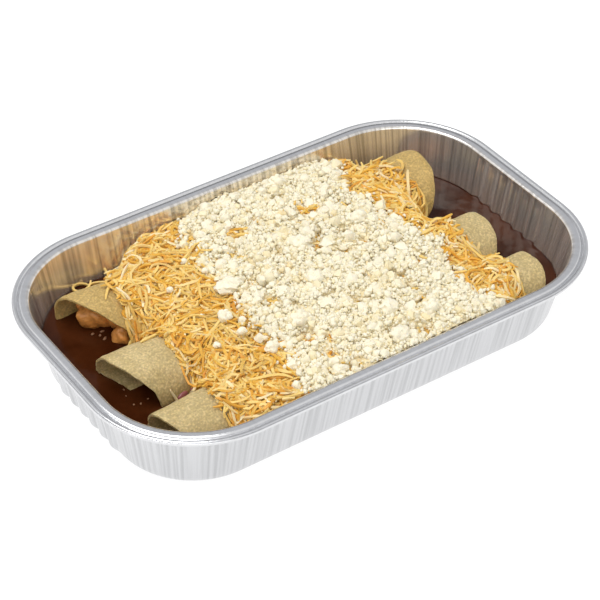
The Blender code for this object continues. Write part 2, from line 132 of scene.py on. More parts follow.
# The layer that shows inside the left mouth of a roll: how far it reaches from the far side to the near one
MOUTH_LAYERS = {"tortilla_2": 0.0138, "tortilla_3": 0.02}

# Cheese: where each layer starts and ends along the rolls, read at these places across the tray
ACROSS = (-0.057, -0.045, -0.03, -0.015, 0.0, 0.015, 0.03, 0.045, 0.056)
SHREDS_LEFT = (-0.067, -0.0655, -0.066, -0.064, -0.065, -0.067, -0.067, -0.06, -0.047)
SHREDS_RIGHT = (0.062, 0.066, 0.067, 0.063, 0.064, 0.0685, 0.064, 0.063, 0.064)
CRUMBS_LEFT = (-0.0385, -0.036, -0.0335, -0.035, -0.03, -0.031, -0.032, -0.0275, -0.018)
CRUMBS_RIGHT = (0.05, 0.047, 0.046, 0.052, 0.047, 0.044, 0.046, 0.048, 0.049)
RAMP_START = 0.35
SHREDS_TOP = 0.0305
SHREDS_RAMP = 0.014
SHREDS_LOW = 0.004
SHREDS_SINK = 0.0009
HEAP_CROWN = 0.0025
CRUMBS_THICK = 0.0032
CRUMBS_RAMP = 0.011
CRUMBS_LOW = 0.002
HEAP_BASE = 0.009
# Half sizes of the places where loose shreds and loose crumbs may lie
SHREDS_SPREAD = (0.084, 0.0605)
CRUMBS_SPREAD = (0.072, 0.0603)
# Both layers sink by this much along the far wall, from this far across the tray, over this ramp
FAR_SINK = 0.0032
FAR_START = 0.0475
FAR_RAMP = 0.009
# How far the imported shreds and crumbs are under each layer's top, and how much deeper the crumbs' gaps go
SHREDS_LOOSE = 0.0031
CRUMBS_LOOSE = 0.001
GAP_DEPTH = 0.0042
# The shortest and longest shred, and the height of a lying shred's middle
SHRED_LENGTHS = (0.0045, 0.022)
SHRED_REST = 0.0003

# Gaps in the crumbs where the shreds show, in millimetres: place (x, y) and radius
PEEKS = (
    (35.9, 22.4, 1.9), (20.8, 27.5, 2.4), (14.5, 22.9, 1.8), (25.3, 7.8, 2), (18.3, -1.1, 2.4),
    (27, -1.3, 1.6), (15.6, -18.3, 1.6), (25.6, -32.3, 2.2), (4.3, -28.6, 1.7), (-22.7, -10.8, 2.6),
    (16.4, -53.5, 2.4), (-21.6, 2.6, 2.6), (39.1, -21.2, 2.2), (-18, 20, 2.6), (-12, 29.4, 2.2),
    (-19.4, -3.2, 1.8), (-24.6, 19.6, 1.8), (-22.3, -34, 2.4), (-14.4, -54.5, 2.2), (-22.5, -54.5, 2.8),
    (-20.4, -47.3, 2.4), (4.5, -49.5, 1.8),
)
# Larger lumps of crumbled cheese, in millimetres: place (x, y), half sizes (along, across, up) and how far
# the middle stands up
CLUMPS = (
    ((-41.6, -9.7), (2.6, 2.6, 2.4), 1.2), ((-52.2, -20.9), (1.3, 1.3, 1.2), 0.8),
    ((-49.7, 15.4), (1.2, 1.2, 1.2), 0.8), ((-40.8, -19.9), (1.9, 1.6, 1.6), 1),
    ((-36.8, -33.4), (2.7, 2.3, 2.3), 1.2), ((-31, 4.5), (5.6, 3.6, 2.4), 1.2),
    ((-26.3, 16.9), (2.4, 2.2, 2), 1), ((20.4, 49), (3.4, 3, 3), 0.8),
    ((-22.2, -55), (3, 2.6, 2.6), 0.8), ((5.3, -53.3), (3.8, 3, 3), 1),
    ((22.8, -48), (3.5, 3, 3), 1), ((-20.4, -27), (3.6, 3, 2.8), 0.8),
    ((-33.2, 17.2), (1.2, 1.2, 1.2), 0.8), ((-36.8, 26.9), (1.4, 1.2, 1.2), 0.8),
    ((5.1, 9.5), (3.4, 3.2, 2.6), 0.5), ((-3.2, -11.2), (3, 3.4, 2.6), 0.5),
    ((32.5, 10.5), (3.2, 2.6, 2.6), 0.5), ((10.2, -39.5), (3.6, 3.2, 3), 0.6),
    ((-58.6, 33), (0.8, 0.7, 0.7), 0.4), ((-39.5, -40.3), (0.9, 0.8, 0.8), 0.4),
    ((-45.5, 27.9), (0.8, 0.7, 0.7), 0.4), ((-47.5, -3.5), (0.8, 0.7, 0.7), 0.4),
)
# Loose shreds off the heap: middle (x, y), heading and bend in degrees, length, and how far its end stands up
LOOSE_SHREDS = (
    ((-0.067, 0.0525), 250, 330, 0.02, 0.004), ((-0.0585, 0.051), 160, 80, 0.013, 0.002),
    ((-0.0535, 0.052), 110, -60, 0.012, 0.003), ((-0.06, 0.0485), 20, 120, 0.012, 0.001),
    ((-0.056, 0.0475), 75, -40, 0.011, 0.003), ((-0.051, 0.0505), 50, 60, 0.012, 0.002),
    ((-0.0655, 0.0002), 5, -20, 0.0135, 0.0005), ((-0.0605, 0.0025), 30, 50, 0.011, 0.001),
    ((0.061, 0.0445), 105, 30, 0.011, 0.008), ((0.0625, 0.0275), 70, 70, 0.012, 0.001),
    ((0.061, 0.006), 20, 90, 0.01, 0.001), ((0.0655, -0.028), 60, 140, 0.012, 0.001),
    ((-0.0665, -0.0265), 70, 60, 0.012, 0.001), ((-0.0685, -0.0235), 120, 40, 0.01, 0.0),
)
# Onion bits, pale bits on the sauce, and small pale domes on it, bubbles with painted highlights: places (x,
# y)
ONIONS = ((-0.0603, 0.004), (-0.0627, 0.0078), (-0.0705, -0.0265), (-0.0645, -0.0255), (-0.0585, 0.0065))
PALE_BITS = ((-0.0727, 0.0278), (-0.0738, 0.0237), (-0.0745, 0.0262), (-0.0762, 0.0285))
GLINT_SPECKS = ((-0.0826, -0.005), (-0.0836, -0.0082), (-0.0811, -0.0145), (-0.0776, -0.0136), (-0.0835, -0.0136))
# Chicken chunks at the first roll's left mouth: middle (x, y, z) and half sizes
MOUTH_CHUNKS = (
    ((-0.0717, 0.0338, 0.0192), (0.0082, 0.0052, 0.0062)),
    ((-0.0688, 0.0203, 0.0168), (0.0034, 0.0036, 0.0048)),
    ((-0.0695, 0.0385, 0.021), (0.0075, 0.0042, 0.0042)),
)

# Dimmed parts of the sky: direction of the middle, the dot products where it starts and is whole, and colour
DIMMED_SKY = (
    ((0.437, 0.641, 0.631), (0.72, 0.95), (0.52, 0.53, 0.56, 1.0)),
    ((0.563, 0.826, 0.0), (0.82, 0.93), (0.14, 0.14, 0.15, 1.0)),
)


def count_property(name, description, default, least=1):
    """A whole number that is not under the least."""
    return IntProperty(name=name, description=description, default=default, min=least)


def length_property(name, description, default):
    """A length in metres."""
    return FloatProperty(name=name, description=description, default=default, unit="LENGTH")


def angle_property(name, description, degrees):
    """An angle whose default is given in degrees."""
    return FloatProperty(name=name, description=description, default=math.radians(degrees), subtype="ANGLE")


def colour_property(name, description, default):
    """A colour as linear red, green and blue."""
    return FloatVectorProperty(name=name, description=description, default=default, subtype="COLOR")


class TrayProperties(bpy.types.PropertyGroup):
    arc_steps: count_property("Corner steps", "Faces round each corner", 26, least=4)
    short_steps: count_property("Short side steps", "Faces along a short side", 84, least=8)
    long_steps: count_property("Long side steps", "Faces along a long side", 40, least=4)
    rib_depth: length_property("Rib depth", "How far the flutes of the short sides stand out", 0.0012)
    metal: colour_property("Metal", "Colour of the bare foil", (0.77, 0.775, 0.79))
    # Not the foil's own colour: a warm painted reflection of the food that the inner walls face
    reflected_food_tint: colour_property("Reflected food tint", "Colour of the walls round the food", (0.96, 0.9, 0.82))
    roughness: FloatProperty(name="Roughness", description="Roughness of the walls", default=0.22, min=0.0)


class SauceProperties(bpy.types.PropertyGroup):
    cell: length_property("Cell", "Size of the surface's faces", 0.001)
    ripple: length_property("Ripple", "Height of the small ripples", 0.00014)
    colour: colour_property("Colour", "Deep colour of the sauce", (0.034, 0.0075, 0.0018))
    thin_colour: colour_property("Thin colour", "Colour where the sauce is thin", (0.062, 0.016, 0.0045))


class TortillaProperties(bpy.types.PropertyGroup):
    along: count_property("Steps along", "Faces along each roll", 130, least=8)
    around: count_property("Steps round", "Faces round each roll", 150, least=8)
    dents: length_property("Dents", "Height of the dents", 0.00045)
    light: colour_property("Light", "Lighter colour of the corn", (0.655, 0.51, 0.252))
    dark: colour_property("Dark", "Darker colour of the corn", (0.535, 0.41, 0.183))
    yellow: colour_property("Yellow", "What the far roll's colour is multiplied by", (0.945, 0.84, 0.615))


class FillingProperties(bpy.types.PropertyGroup):
    light: colour_property("Light", "Colour of the chicken", (0.72, 0.31, 0.075))
    dark: colour_property("Dark", "Colour of the browned chicken", (0.48, 0.16, 0.03))


class ShredsProperties(bpy.types.PropertyGroup):
    orange_count: count_property("Orange shreds", "Candidate places for orange shreds", 10200)
    pale_count: count_property("Pale shreds", "Candidate places for pale shreds", 6200)
    length: length_property("Length", "Usual length of a shred", 0.0088)
    width: length_property("Width", "Usual width of a shred", 0.00093)
    palest: colour_property("Palest", "Lightest colour of the pale shreds", (0.89, 0.77, 0.52))
    light: colour_property("Light", "Lightest colour of the orange shreds", (0.81, 0.575, 0.19))
    middle: colour_property("Middle", "Usual colour of the shreds", (0.74, 0.405, 0.05))
    deep: colour_property("Deep", "Deepest colour of the shreds", (0.66, 0.27, 0.018))
    # Painted shade: the packed core under the shreds takes this colour, so that their gaps look dark
    shade: colour_property("Shade", "Colour of the packed cheese under them", (0.24, 0.08, 0.014))


class CrumbsProperties(bpy.types.PropertyGroup):
    fine_count: count_property("Fine crumbs", "Candidate places for fine crumbs", 19600)
    coarse_count: count_property("Coarse crumbs", "Candidate places for coarse crumbs", 4200)
    fine: length_property("Fine", "Usual radius of a fine crumb", 0.00058)
    coarse: length_property("Coarse", "Usual radius of a coarse crumb", 0.0011)
    light: colour_property("Light", "Lighter colour of the crumbs", (0.87, 0.81, 0.645))
    dark: colour_property("Dark", "Darker colour of the crumbs", (0.83, 0.73, 0.48))
    # Partly the orange shreds below and partly painted shade in the gaps between the crumbs
    under: colour_property("Under", "Colour deep between the crumbs", (0.86, 0.55, 0.18))


class ScrapsProperties(bpy.types.PropertyGroup):
    onion: colour_property("Onion", "Colour of the onion bits", (0.24, 0.07, 0.07))
    # On the bubbles in the sauce this pale colour is a painted highlight, for their glints
    pale: colour_property("Pale bits", "Colour of the bits and grains on the sauce", (0.34, 0.18, 0.1))


class StageProperties(bpy.types.PropertyGroup):
    target: FloatVectorProperty(
        name="Target", description="Where the camera looks", default=(-0.0129, -0.016, RIM_Z), subtype="XYZ"
    )
    distance: length_property("Distance", "From camera to target", 0.785)
    azimuth: angle_property("Azimuth", "Camera's angle round the tray", -34.26)
    elevation: angle_property("Elevation", "Camera's angle above the table", 39.11)
    lens: FloatProperty(name="Lens", description="Focal length in millimetres", default=128.0)
    sky: FloatProperty(name="Sky", description="Strength of the light from all round", default=0.75)
    key: FloatProperty(name="Key light", description="Power of the large light in watts", default=11.0)


def smooth(value):
    """A smoothstep: three t squared less two t cubed, with t held between 0 and 1."""
    t = np.clip(value, 0.0, 1.0)
    return t * t * (3 - 2 * t)


def bell(value, middle, width):
    """A bell curve: e to the power of minus the square of the distance from the middle over the width."""
    return np.exp(-((value - middle) ** 2) / width**2)


def value_noise(x, y, cell, seed, corners=64):
    """From -1 to 1: random values at the corners of square cells, blended over each cell by a smoothstep."""
    table = np.random.default_rng(seed).uniform(-1, 1, (corners, corners))
    u, v = np.asarray(x, float) / cell, np.asarray(y, float) / cell
    i, j = np.floor(u).astype(int), np.floor(v).astype(int)
    s, t = smooth(u - i), smooth(v - j)
    i0, i1, j0, j1 = i % corners, (i + 1) % corners, j % corners, (j + 1) % corners
    near = table[i0, j0] * (1 - s) + table[i1, j0] * s
    far = table[i0, j1] * (1 - s) + table[i1, j1] * s
    return near * (1 - t) + far * t


def layered_noise(x, y, cell, seed, layers=3):
    """Value noise, plus half as much of it in cells half the size, and so on for each layer."""
    return sum(value_noise(x, y, cell / 2**k, seed + k) / 2**k for k in range(layers))


def pebbles(x, y, cell, seed, corners=64):
    """From 0 to 1: round bumps, one at a random place in each square cell, each 1 less its squared distance
    over its squared radius, and the highest of the nine nearest counts."""
    rng = np.random.default_rng(seed)
    shift = rng.uniform(0, 1, (corners, corners, 2))
    radius = rng.uniform(0.55, 1.0, (corners, corners))
    u, v = np.asarray(x, float) / cell, np.asarray(y, float) / cell
    i, j = np.floor(u).astype(int), np.floor(v).astype(int)
    best = np.zeros_like(u)
    for a in (-1, 0, 1):
        for b in (-1, 0, 1):
            k, m = (i + a) % corners, (j + b) % corners
            across = u - i - a - shift[k, m, 0]
            along = v - j - b - shift[k, m, 1]
            best = np.maximum(best, 1 - (across**2 + along**2) / radius[k, m] ** 2)
    return best


def wall_half(height, inwards=0.0):
    """Half sizes and corner radius of the tray's wall: they grow in proportion to the height."""
    t = np.asarray(height, float)[..., None] / RIM_Z
    return BASE_HALF + (RIM_HALF - BASE_HALF) * t - np.asarray(inwards, float)[..., None]


def wall_distance(x, y, z):
    """How far a place is outside the wall's inner face, negative inside it, as off a rounded rectangle."""
    half = wall_half(z, FOIL)
    length, width, radius = half[..., 0], half[..., 1], half[..., 2]
    over_x, over_y = np.abs(x) - length + radius, np.abs(y) - width + radius
    outside = np.hypot(np.maximum(over_x, 0), np.maximum(over_y, 0))
    return outside + np.minimum(np.maximum(over_x, over_y), 0) - radius


def sauce_height(x, y):
    """The sauce's level: a slight lean and a few low swells, as a product of two waves."""
    lean = SAUCE_LEAN[0] * x / RIM_HALF[0] + SAUCE_LEAN[1] * y / RIM_HALF[1]
    a, b, c, d = SAUCE_WAVES
    return SAUCE_Z + lean + SAUCE_LUMP * np.sin(a * x + b * y) * np.cos(c * y - d * x)


def roll_line(roll, x):
    """The middle of a roll (y, z), straight from end to end, and its radius, which flares by a smoothstep."""
    (left_y, left_z), (right_y, right_z), middle, _, flare_left, flare_right = roll
    t = (np.asarray(x) - middle) / (2 * DISC_RADIUS) + 0.5
    radius = ROLL_RADIUS + flare_left * smooth(1 - t * 2 * DISC_RADIUS / FLARE_LENGTH)
    radius = radius + flare_right * smooth(1 - (1 - t) * 2 * DISC_RADIUS / FLARE_LENGTH)
    return left_y + (right_y - left_y) * t, left_z + (right_z - left_z) * t, radius


def roll_top(x, y):
    """The height of the rolls' backs, a circle across each roll, or nothing where no roll lies."""
    top = np.zeros(np.broadcast(x, y).shape)
    for roll in ROLLS.values():
        mid_y, mid_z, radius = roll_line(roll, x)
        off = np.abs(y - mid_y)
        turns = (90 - roll[3]) / 360 - np.arcsin(np.clip((y - mid_y) / radius, -1, 1)) / TURN
        reach = np.sqrt(np.maximum(DISC_RADIUS**2 - (turns * TURN * ROLL_RADIUS) ** 2, 0))
        on_roll = (off < radius) & (np.abs(x - roll[2]) < reach)
        top = np.where(on_roll, np.maximum(top, mid_z + np.sqrt(np.maximum(radius**2 - off**2, 0))), top)
    return top


def layer_edge(x, y, left, right, ramp):
    """From 0 outside a layer's two ends to 1 inside them, by a smoothstep over the ramp."""
    start, stop = np.interp(y, ACROSS, left), np.interp(y, ACROSS, right)
    return smooth((x - start) / ramp + RAMP_START) * smooth((stop - x) / ramp + RAMP_START)


def shreds_edge(x, y):
    """From 0 outside the shredded cheese to 1 well inside its ends."""
    return layer_edge(x, y, SHREDS_LEFT, SHREDS_RIGHT, SHREDS_RAMP)


def crumbs_edge(x, y):
    """From 0 outside the crumbled cheese to 1 well inside its ends."""
    return layer_edge(x, y, CRUMBS_LEFT, CRUMBS_RIGHT, CRUMBS_RAMP)


def shreds_height(x, y):
    """The top of the shredded cheese: a low crown that falls at the ends and along the far wall, and is
    pressed in under the crumbs."""
    crown = HEAP_CROWN * (1 - (y / RIM_HALF[1]) ** 2) * (1 - (x / RIM_HALF[0]) ** 2)
    sunk = FAR_SINK * smooth((y - FAR_START) / FAR_RAMP)
    full = SHREDS_TOP + crown - SHREDS_SINK * crumbs_edge(x, y) - sunk
    return SHREDS_LOW + (full - SHREDS_LOW) * shreds_edge(x, y)


def crumbs_height(x, y):
    """The top of the crumbled cheese: its thickness over the shreds, below them outside its ends."""
    edge = crumbs_edge(x, y)
    return shreds_height(x, y) + CRUMBS_THICK * edge - CRUMBS_LOW * (1 - edge)


def bare(x, y):
    """Where the crumbs leave the shreds bare, from 0 to 1: bell curves round the gaps, and peaks of noise."""
    found = smooth((value_noise(x, y, 0.0042, 31) - 0.66) / 0.16)
    for px, py, radius in np.array(PEEKS) * MM:
        found = np.maximum(found, np.exp(-((x - px) ** 2 + (y - py) ** 2) / (1.55 * radius) ** 2))
    return found


def shreds_core(x, y):
    """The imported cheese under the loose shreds: below their top by about two shreds, and uneven."""
    hollow = 0.0012 * layered_noise(x, y, 0.0045, 11)
    return shreds_height(x, y) - SHREDS_LOOSE + hollow * shreds_edge(x, y)


def crumbs_core(x, y):
    """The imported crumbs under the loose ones: two sizes of round bumps, sunk where the shreds show."""
    edge = crumbs_edge(x, y)
    bumps = 0.0009 * (pebbles(x, y, 0.0024, 21) - 0.5) + 0.0005 * (pebbles(x, y, 0.0012, 22) - 0.5)
    swell = 0.0006 * value_noise(x, y, 0.011, 23)
    return crumbs_height(x, y) - CRUMBS_LOOSE + (bumps + swell) * edge - GAP_DEPTH * bare(x, y)


def ground(x, y):
    """What the loose shreds lie on: the highest of packed cheese, rolls and sauce."""
    return np.maximum(np.maximum(shreds_core(x, y), roll_top(x, y)), sauce_height(x, y))


def fill_mesh(mesh, points, polygons):
    """Puts arrays of points and of polygons, one array for each number of corners, into a mesh."""
    corners = np.concatenate([p.ravel() for p in polygons]).astype(np.int32)
    sizes = np.concatenate([np.full(len(p), p.shape[1]) for p in polygons])
    mesh.vertices.add(len(points))
    mesh.vertices.foreach_set("co", np.asarray(points, np.float32).ravel())
    mesh.loops.add(len(corners))
    mesh.loops.foreach_set("vertex_index", corners)
    mesh.polygons.add(len(sizes))
    mesh.polygons.foreach_set("loop_start", (np.cumsum(sizes) - sizes).astype(np.int32))
    mesh.update(calc_edges=True)


def turned_outwards(points, polygons):
    """The same polygons, reversed if the volume under them, a sum over fans of triangles, is negative."""
    volume = 0.0
    for faces in polygons:
        first = points[faces[:, 0]]
        for k in range(1, faces.shape[1] - 1):
            volume += np.einsum("ij,ij->", first, np.cross(points[faces[:, k]], points[faces[:, k + 1]]))
    return polygons if volume > 0 else [faces[:, ::-1] for faces in polygons]


def make_piece(name, points, polygons, surface, replaced=(), sharp=None, tint=None, uv=None):
    """Makes a piece that rides on the tray's body. Its edges are sharp above an angle, or all smooth."""
    points = np.asarray(points, float).reshape(-1, 3)
    if uv is None:
        polygons = turned_outwards(points, polygons)
    mesh = bpy.data.meshes.new(name)
    fill_mesh(mesh, points, polygons)
    mesh.shade_smooth()
    if sharp is not None:
        mesh.set_sharp_from_angle(angle=math.radians(sharp))
    if tint is not None:
        tints = mesh.attributes.new("tint", "FLOAT", "POINT")
        tints.data.foreach_set("value", np.asarray(tint, np.float32).ravel())
    if uv is not None:
        mesh.uv_layers.new(name="foil").data.foreach_set("uv", np.asarray(uv, np.float32).ravel())
    mesh.materials.append(surface)
    obj = bpy.data.objects.new(name, mesh)
    bpy.context.scene.collection.objects.link(obj)
    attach(obj, "root")
    if replaced:
        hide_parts(*replaced)
    return obj


def grid_quads(rows, columns, closed):
    """Quads between neighbouring rows and columns of a grid of points, closed round the columns or not."""
    i, j = np.meshgrid(np.arange(rows - 1), np.arange(columns if closed else columns - 1), indexing="ij")
    k = (j + 1) % columns
    corners = (i * columns + j, i * columns + k, (i + 1) * columns + k, (i + 1) * columns + j)
    return np.stack([c.ravel() for c in corners], 1)


def grid_rim(rows, columns):
    """The points round the edge of a grid of points, in order, and for each of them the next one."""
    i, j = np.arange(rows), np.arange(columns)
    far_side, last_row = i[1:] * columns + columns - 1, rows * columns - 2 - j[:-1]
    rim = np.concatenate([j, far_side, last_row, i[1:-1][::-1] * columns])
    return rim, np.roll(rim, -1)


def closed_sheet(outer, inner):
    """Two faces on the same grid of points, joined round their edges into one closed sheet."""
    rows, columns = outer.shape[:2]
    face = grid_quads(rows, columns, closed=False)
    count = rows * columns
    rim, after = grid_rim(rows, columns)
    edge = np.stack([rim, after, after + count, rim + count], 1)
    return np.concatenate([outer.reshape(-1, 3), inner.reshape(-1, 3)]), [face[:, ::-1], face + count, edge]


def ball(rings, sides):
    """A unit ball as points and triangles: two poles, and rings, each turned by half a side from the next."""
    height = np.cos(np.arange(1, rings + 1) * math.pi / (rings + 1))
    angle = (np.arange(sides)[None] + 0.5 * (np.arange(rings)[:, None] % 2)) * TURN / sides
    out = np.sqrt(1 - height**2)[:, None]
    height = np.broadcast_to(height[:, None], angle.shape)
    points = np.stack([out * np.cos(angle), out * np.sin(angle), height], 2)
    points = np.concatenate([points.reshape(-1, 3), [[0, 0, 1], [0, 0, -1]]])
    k = np.arange(sides)
    after, last = (k + 1) % sides, (rings - 1) * sides
    faces = [np.stack([k, after, np.full(sides, len(points) - 2)], 1)]
    faces.append(np.stack([last + after, last + k, np.full(sides, len(points) - 1)], 1))
    for ring in range(rings - 1):
        a, b = ring * sides, (ring + 1) * sides
        if ring % 2 == 0:
            faces += [np.stack([a + k, b + k, a + after], 1), np.stack([b + k, b + after, a + after], 1)]
        else:
            faces += [np.stack([a + k, b + k, b + after], 1), np.stack([a + k, b + after, a + after], 1)]
    return points, np.concatenate(faces)


def random_turns(count, rng):
    """Rotation matrices of random unit quaternions, four normal draws over their length."""
    w, x, y, z = (q := rng.normal(size=(4, count))) / np.linalg.norm(q, axis=0)
    rows = (
        (1 - 2 * (y * y + z * z), 2 * (x * y - z * w), 2 * (x * z + y * w)),
        (2 * (x * y + z * w), 1 - 2 * (x * x + z * z), 2 * (y * z - x * w)),
        (2 * (x * z - y * w), 2 * (y * z + x * w), 1 - 2 * (x * x + y * y)),
    )
    return np.moveaxis(np.array(rows), 2, 0)


def lumps(middles, halves, shape, rng, unevenness, turned=True):
    """Uneven balls joined into one mesh: each is the unit ball, stretched by its half sizes, with every point
    moved in or out at random, and turned at random."""
    points, faces = shape
    count = len(middles)
    moved = points[None] * (1 + unevenness * rng.uniform(-1, 1, (count, len(points), 1))) * halves[:, None, :]
    if turned:
        moved = np.einsum("nij,nmj->nmi", random_turns(count, rng), moved)
    placed = middles[:, None, :] + moved
    joined = (faces[None] + np.arange(count)[:, None, None] * len(points)).reshape(-1, 3)
    return placed, joined


def sweep(path, width, thickness, twist):
    """A rectangle carried along each path: its side is square to the path and level, turned by the twist."""
    rows = path.shape[1]
    ahead = np.gradient(path, axis=1)
    ahead /= np.linalg.norm(ahead, axis=2, keepdims=True)
    side = np.cross(ahead, [0, 0, 1])
    side /= np.linalg.norm(side, axis=2, keepdims=True) + 1e-9
    up = np.cross(side, ahead)
    cos, sin = np.cos(twist)[..., None], np.sin(twist)[..., None]
    wide = (cos * side + sin * up) * width[..., None] / 2
    tall = (cos * up - sin * side) * thickness[..., None] / 2
    points = np.stack([path + wide + tall, path - wide + tall, path - wide - tall, path + wide - tall], 2)
    base = grid_quads(rows, 4, closed=True)
    caps = np.array([[3, 2, 1, 0], [4 * rows - 4, 4 * rows - 3, 4 * rows - 2, 4 * rows - 1]])
    base = np.concatenate([base[:, ::-1], caps[:, ::-1]])
    faces = (base[None] + np.arange(len(path))[:, None, None] * 4 * rows).reshape(-1, 4)
    return points, faces


def spread_places(count, half_x, half_y, seed):
    """Evenly spread places over a rectangle: powers of the plastic number modulo 1, each moved a little."""
    plastic = 1.3247179572447
    k = np.arange(1, count + 1)[:, None] + seed * 1000
    places = (k / plastic ** np.array([1, 2])) % 1 * 2 - 1
    jitter = np.random.default_rng(seed).normal(size=(count, 2)) * 0.6 / math.sqrt(count)
    return (places + jitter) * (half_x, half_y)


def outline(half, z, ribs, tray):
    """Points round a rounded rectangle: a quarter circle at each corner and straight sides between them, with
    flutes over the short sides that stand out by a squared sine."""
    length, width, radius = half
    turn = np.linspace(0, TURN / 4, tray.arc_steps + 1)
    signs = ((1, 1), (-1, 1), (-1, -1), (1, -1))
    arcs = []
    for quarter, (sx, sy) in enumerate(signs):
        angle = turn + quarter * TURN / 4
        middle = np.array([sx * (length - radius), sy * (width - radius)])
        arcs.append(middle + radius * np.stack([np.cos(angle), np.sin(angle)], 1))
    pieces = []
    for quarter, arc in enumerate(arcs):
        steps = tray.long_steps if quarter % 2 == 0 else tray.short_steps
        pieces += [arc, np.linspace(arc[-1], arcs[(quarter + 1) % 4][0], steps + 1)[1:-1]]
    points = np.concatenate(pieces)
    on_flutes = (np.abs(points[:, 1]) < RIB_COUNT * RIB_PITCH / 2) & (np.abs(points[:, 0]) > length - 1e-6)
    flute = ribs * np.sin(math.pi * points[:, 1] / RIB_PITCH) ** 2
    points[:, 0] += np.sign(points[:, 0]) * np.where(on_flutes, flute, 0)
    return np.column_stack([points, np.full(len(points), z)])


def tray_profile():
    """The tray's inner face from the floor's edge to the end of the curl: how far each ring is outside the
    wall's line, its height, and how much of the ribs it has. Quarter circles join floor, wall and flange."""
    turn = np.linspace(0, TURN / 4, 9)
    base_out = -FOIL - BASE_ROUND * (1 - np.sin(turn))
    base = (base_out, FOIL + BASE_ROUND * (1 - np.cos(turn)), smooth(turn / turn[-1]))
    rise = np.linspace(FOIL + BASE_ROUND, RIM_Z - 3 * RIM_ROUND, 9)[1:]
    wall = (np.full(8, -FOIL), rise, np.ones(8))
    fade = np.linspace(0, 1, 5)[1:]
    top = (np.full(4, -FOIL), RIM_Z - RIM_ROUND * (3 - 2 * fade), 1 - smooth(fade))
    turn = turn[1::2]
    rim_out = -FOIL + (RIM_ROUND + FOIL) * (1 - np.cos(turn))
    rim = (rim_out, RIM_Z - RIM_ROUND * (1 - np.sin(turn)), np.zeros(4))
    flat = np.array([0.3, 0.6, 0.93])
    flange = (FLANGE_WIDTH * flat, np.full(3, RIM_Z), np.zeros(3))
    fall = np.linspace(0, 1, 9)[1:]
    groove_out = FLANGE_WIDTH * 0.93 + (FLANGE_WIDTH * 0.07 + GROOVE_OUT) * fall
    groove = (groove_out, RIM_Z - 1.35 * GROOVE_DROP * fall**1.15, np.zeros(8))
    curl_turn = np.radians(np.linspace(125, -105, 36))
    crease = 0.0004 * np.exp(-((curl_turn - math.radians(48)) ** 2) / 0.012)
    curl_out = FLANGE_WIDTH + CURL_OUT + (CURL_RADIUS - crease) * np.cos(curl_turn)
    curl = (curl_out, RIM_Z - CURL_DROP + (CURL_RADIUS - crease) * np.sin(curl_turn), np.zeros(36))
    return np.concatenate([base, wall, top, rim, flange, groove, curl], axis=1)


def add_node(tree, kind, inputs=None, **settings):
    """Adds a node with its settings. Each input is a value, or another node's output socket to link."""
    made = tree.nodes.new(kind)
    for key, value in settings.items():
        setattr(made, key, value)
    for key, value in (inputs or {}).items():
        if isinstance(value, bpy.types.NodeSocket):
            tree.links.new(value, made.inputs[key])
        else:
            made.inputs[key].default_value = value
    return made


def blended(tree, factor, first, second):
    """Two colours mixed by a factor from 0 to 1."""
    inputs = {"Factor": factor, 6: first, 7: second}
    return add_node(tree, "ShaderNodeMix", inputs, data_type="RGBA").outputs[2]


def remapped(tree, value, before=(0.0, 1.0), after=(0.0, 1.0), **settings):
    """A value moved from one range into another."""
    inputs = {"Value": value, "From Min": before[0], "From Max": before[1]}
    inputs |= {"To Min": after[0], "To Max": after[1]}
    return add_node(tree, "ShaderNodeMapRange", inputs, **settings).outputs["Result"]


def noise_mask(tree, place, cells, detail):
    """Noise from 0 to 1, with so many cells for each unit of place."""
    inputs = {"Vector": place, "Scale": cells, "Detail": detail}
    return add_node(tree, "ShaderNodeTexNoise", inputs).outputs["Fac"]


def bumped(tree, height, distance, normal, strength=1.0):
    """A normal tilted by the slope of a height."""
    inputs = {"Strength": strength, "Distance": distance, "Height": height, "Normal": normal}
    return add_node(tree, "ShaderNodeBump", inputs).outputs["Normal"]


def node_group(name, inputs, outputs):
    """An empty shader node group with named sockets, and its input and output nodes."""
    tree = bpy.data.node_groups.new(name, "ShaderNodeTree")
    for socket, kind in inputs.items():
        tree.interface.new_socket(name=socket, in_out="INPUT", socket_type=kind)
    for socket, kind in outputs.items():
        tree.interface.new_socket(name=socket, in_out="OUTPUT", socket_type=kind)
    return tree, tree.nodes.new("NodeGroupInput"), tree.nodes.new("NodeGroupOutput")


def colour_drift():
    """Node group: two colours blended by noise over the surface, and the blend as a mask."""
    name = "Colour drift"
    if name in bpy.data.node_groups:
        return bpy.data.node_groups[name]
    inputs = {"First": "NodeSocketColor", "Second": "NodeSocketColor", "Cells": "NodeSocketFloat"}
    inputs["Contrast"] = "NodeSocketFloat"
    tree, given, result = node_group(name, inputs, {"Colour": "NodeSocketColor", "Mask": "NodeSocketFloat"})
    place = add_node(tree, "ShaderNodeTexCoord").outputs["Object"]
    noise = noise_mask(tree, place, given.outputs["Cells"], 4.0)
    centred = add_node(tree, "ShaderNodeMath", {0: noise, 1: 0.5}, operation="SUBTRACT").outputs[0]
    inputs = {0: centred, 1: given.outputs["Contrast"]}
    wide = add_node(tree, "ShaderNodeMath", inputs, operation="MULTIPLY").outputs[0]
    mask = add_node(tree, "ShaderNodeMath", {0: wide, 1: 0.5}, operation="ADD", use_clamp=True).outputs[0]
    mix = blended(tree, mask, given.outputs["First"], given.outputs["Second"])
    tree.links.new(mix, result.inputs["Colour"])
    tree.links.new(mask, result.inputs["Mask"])
    return tree


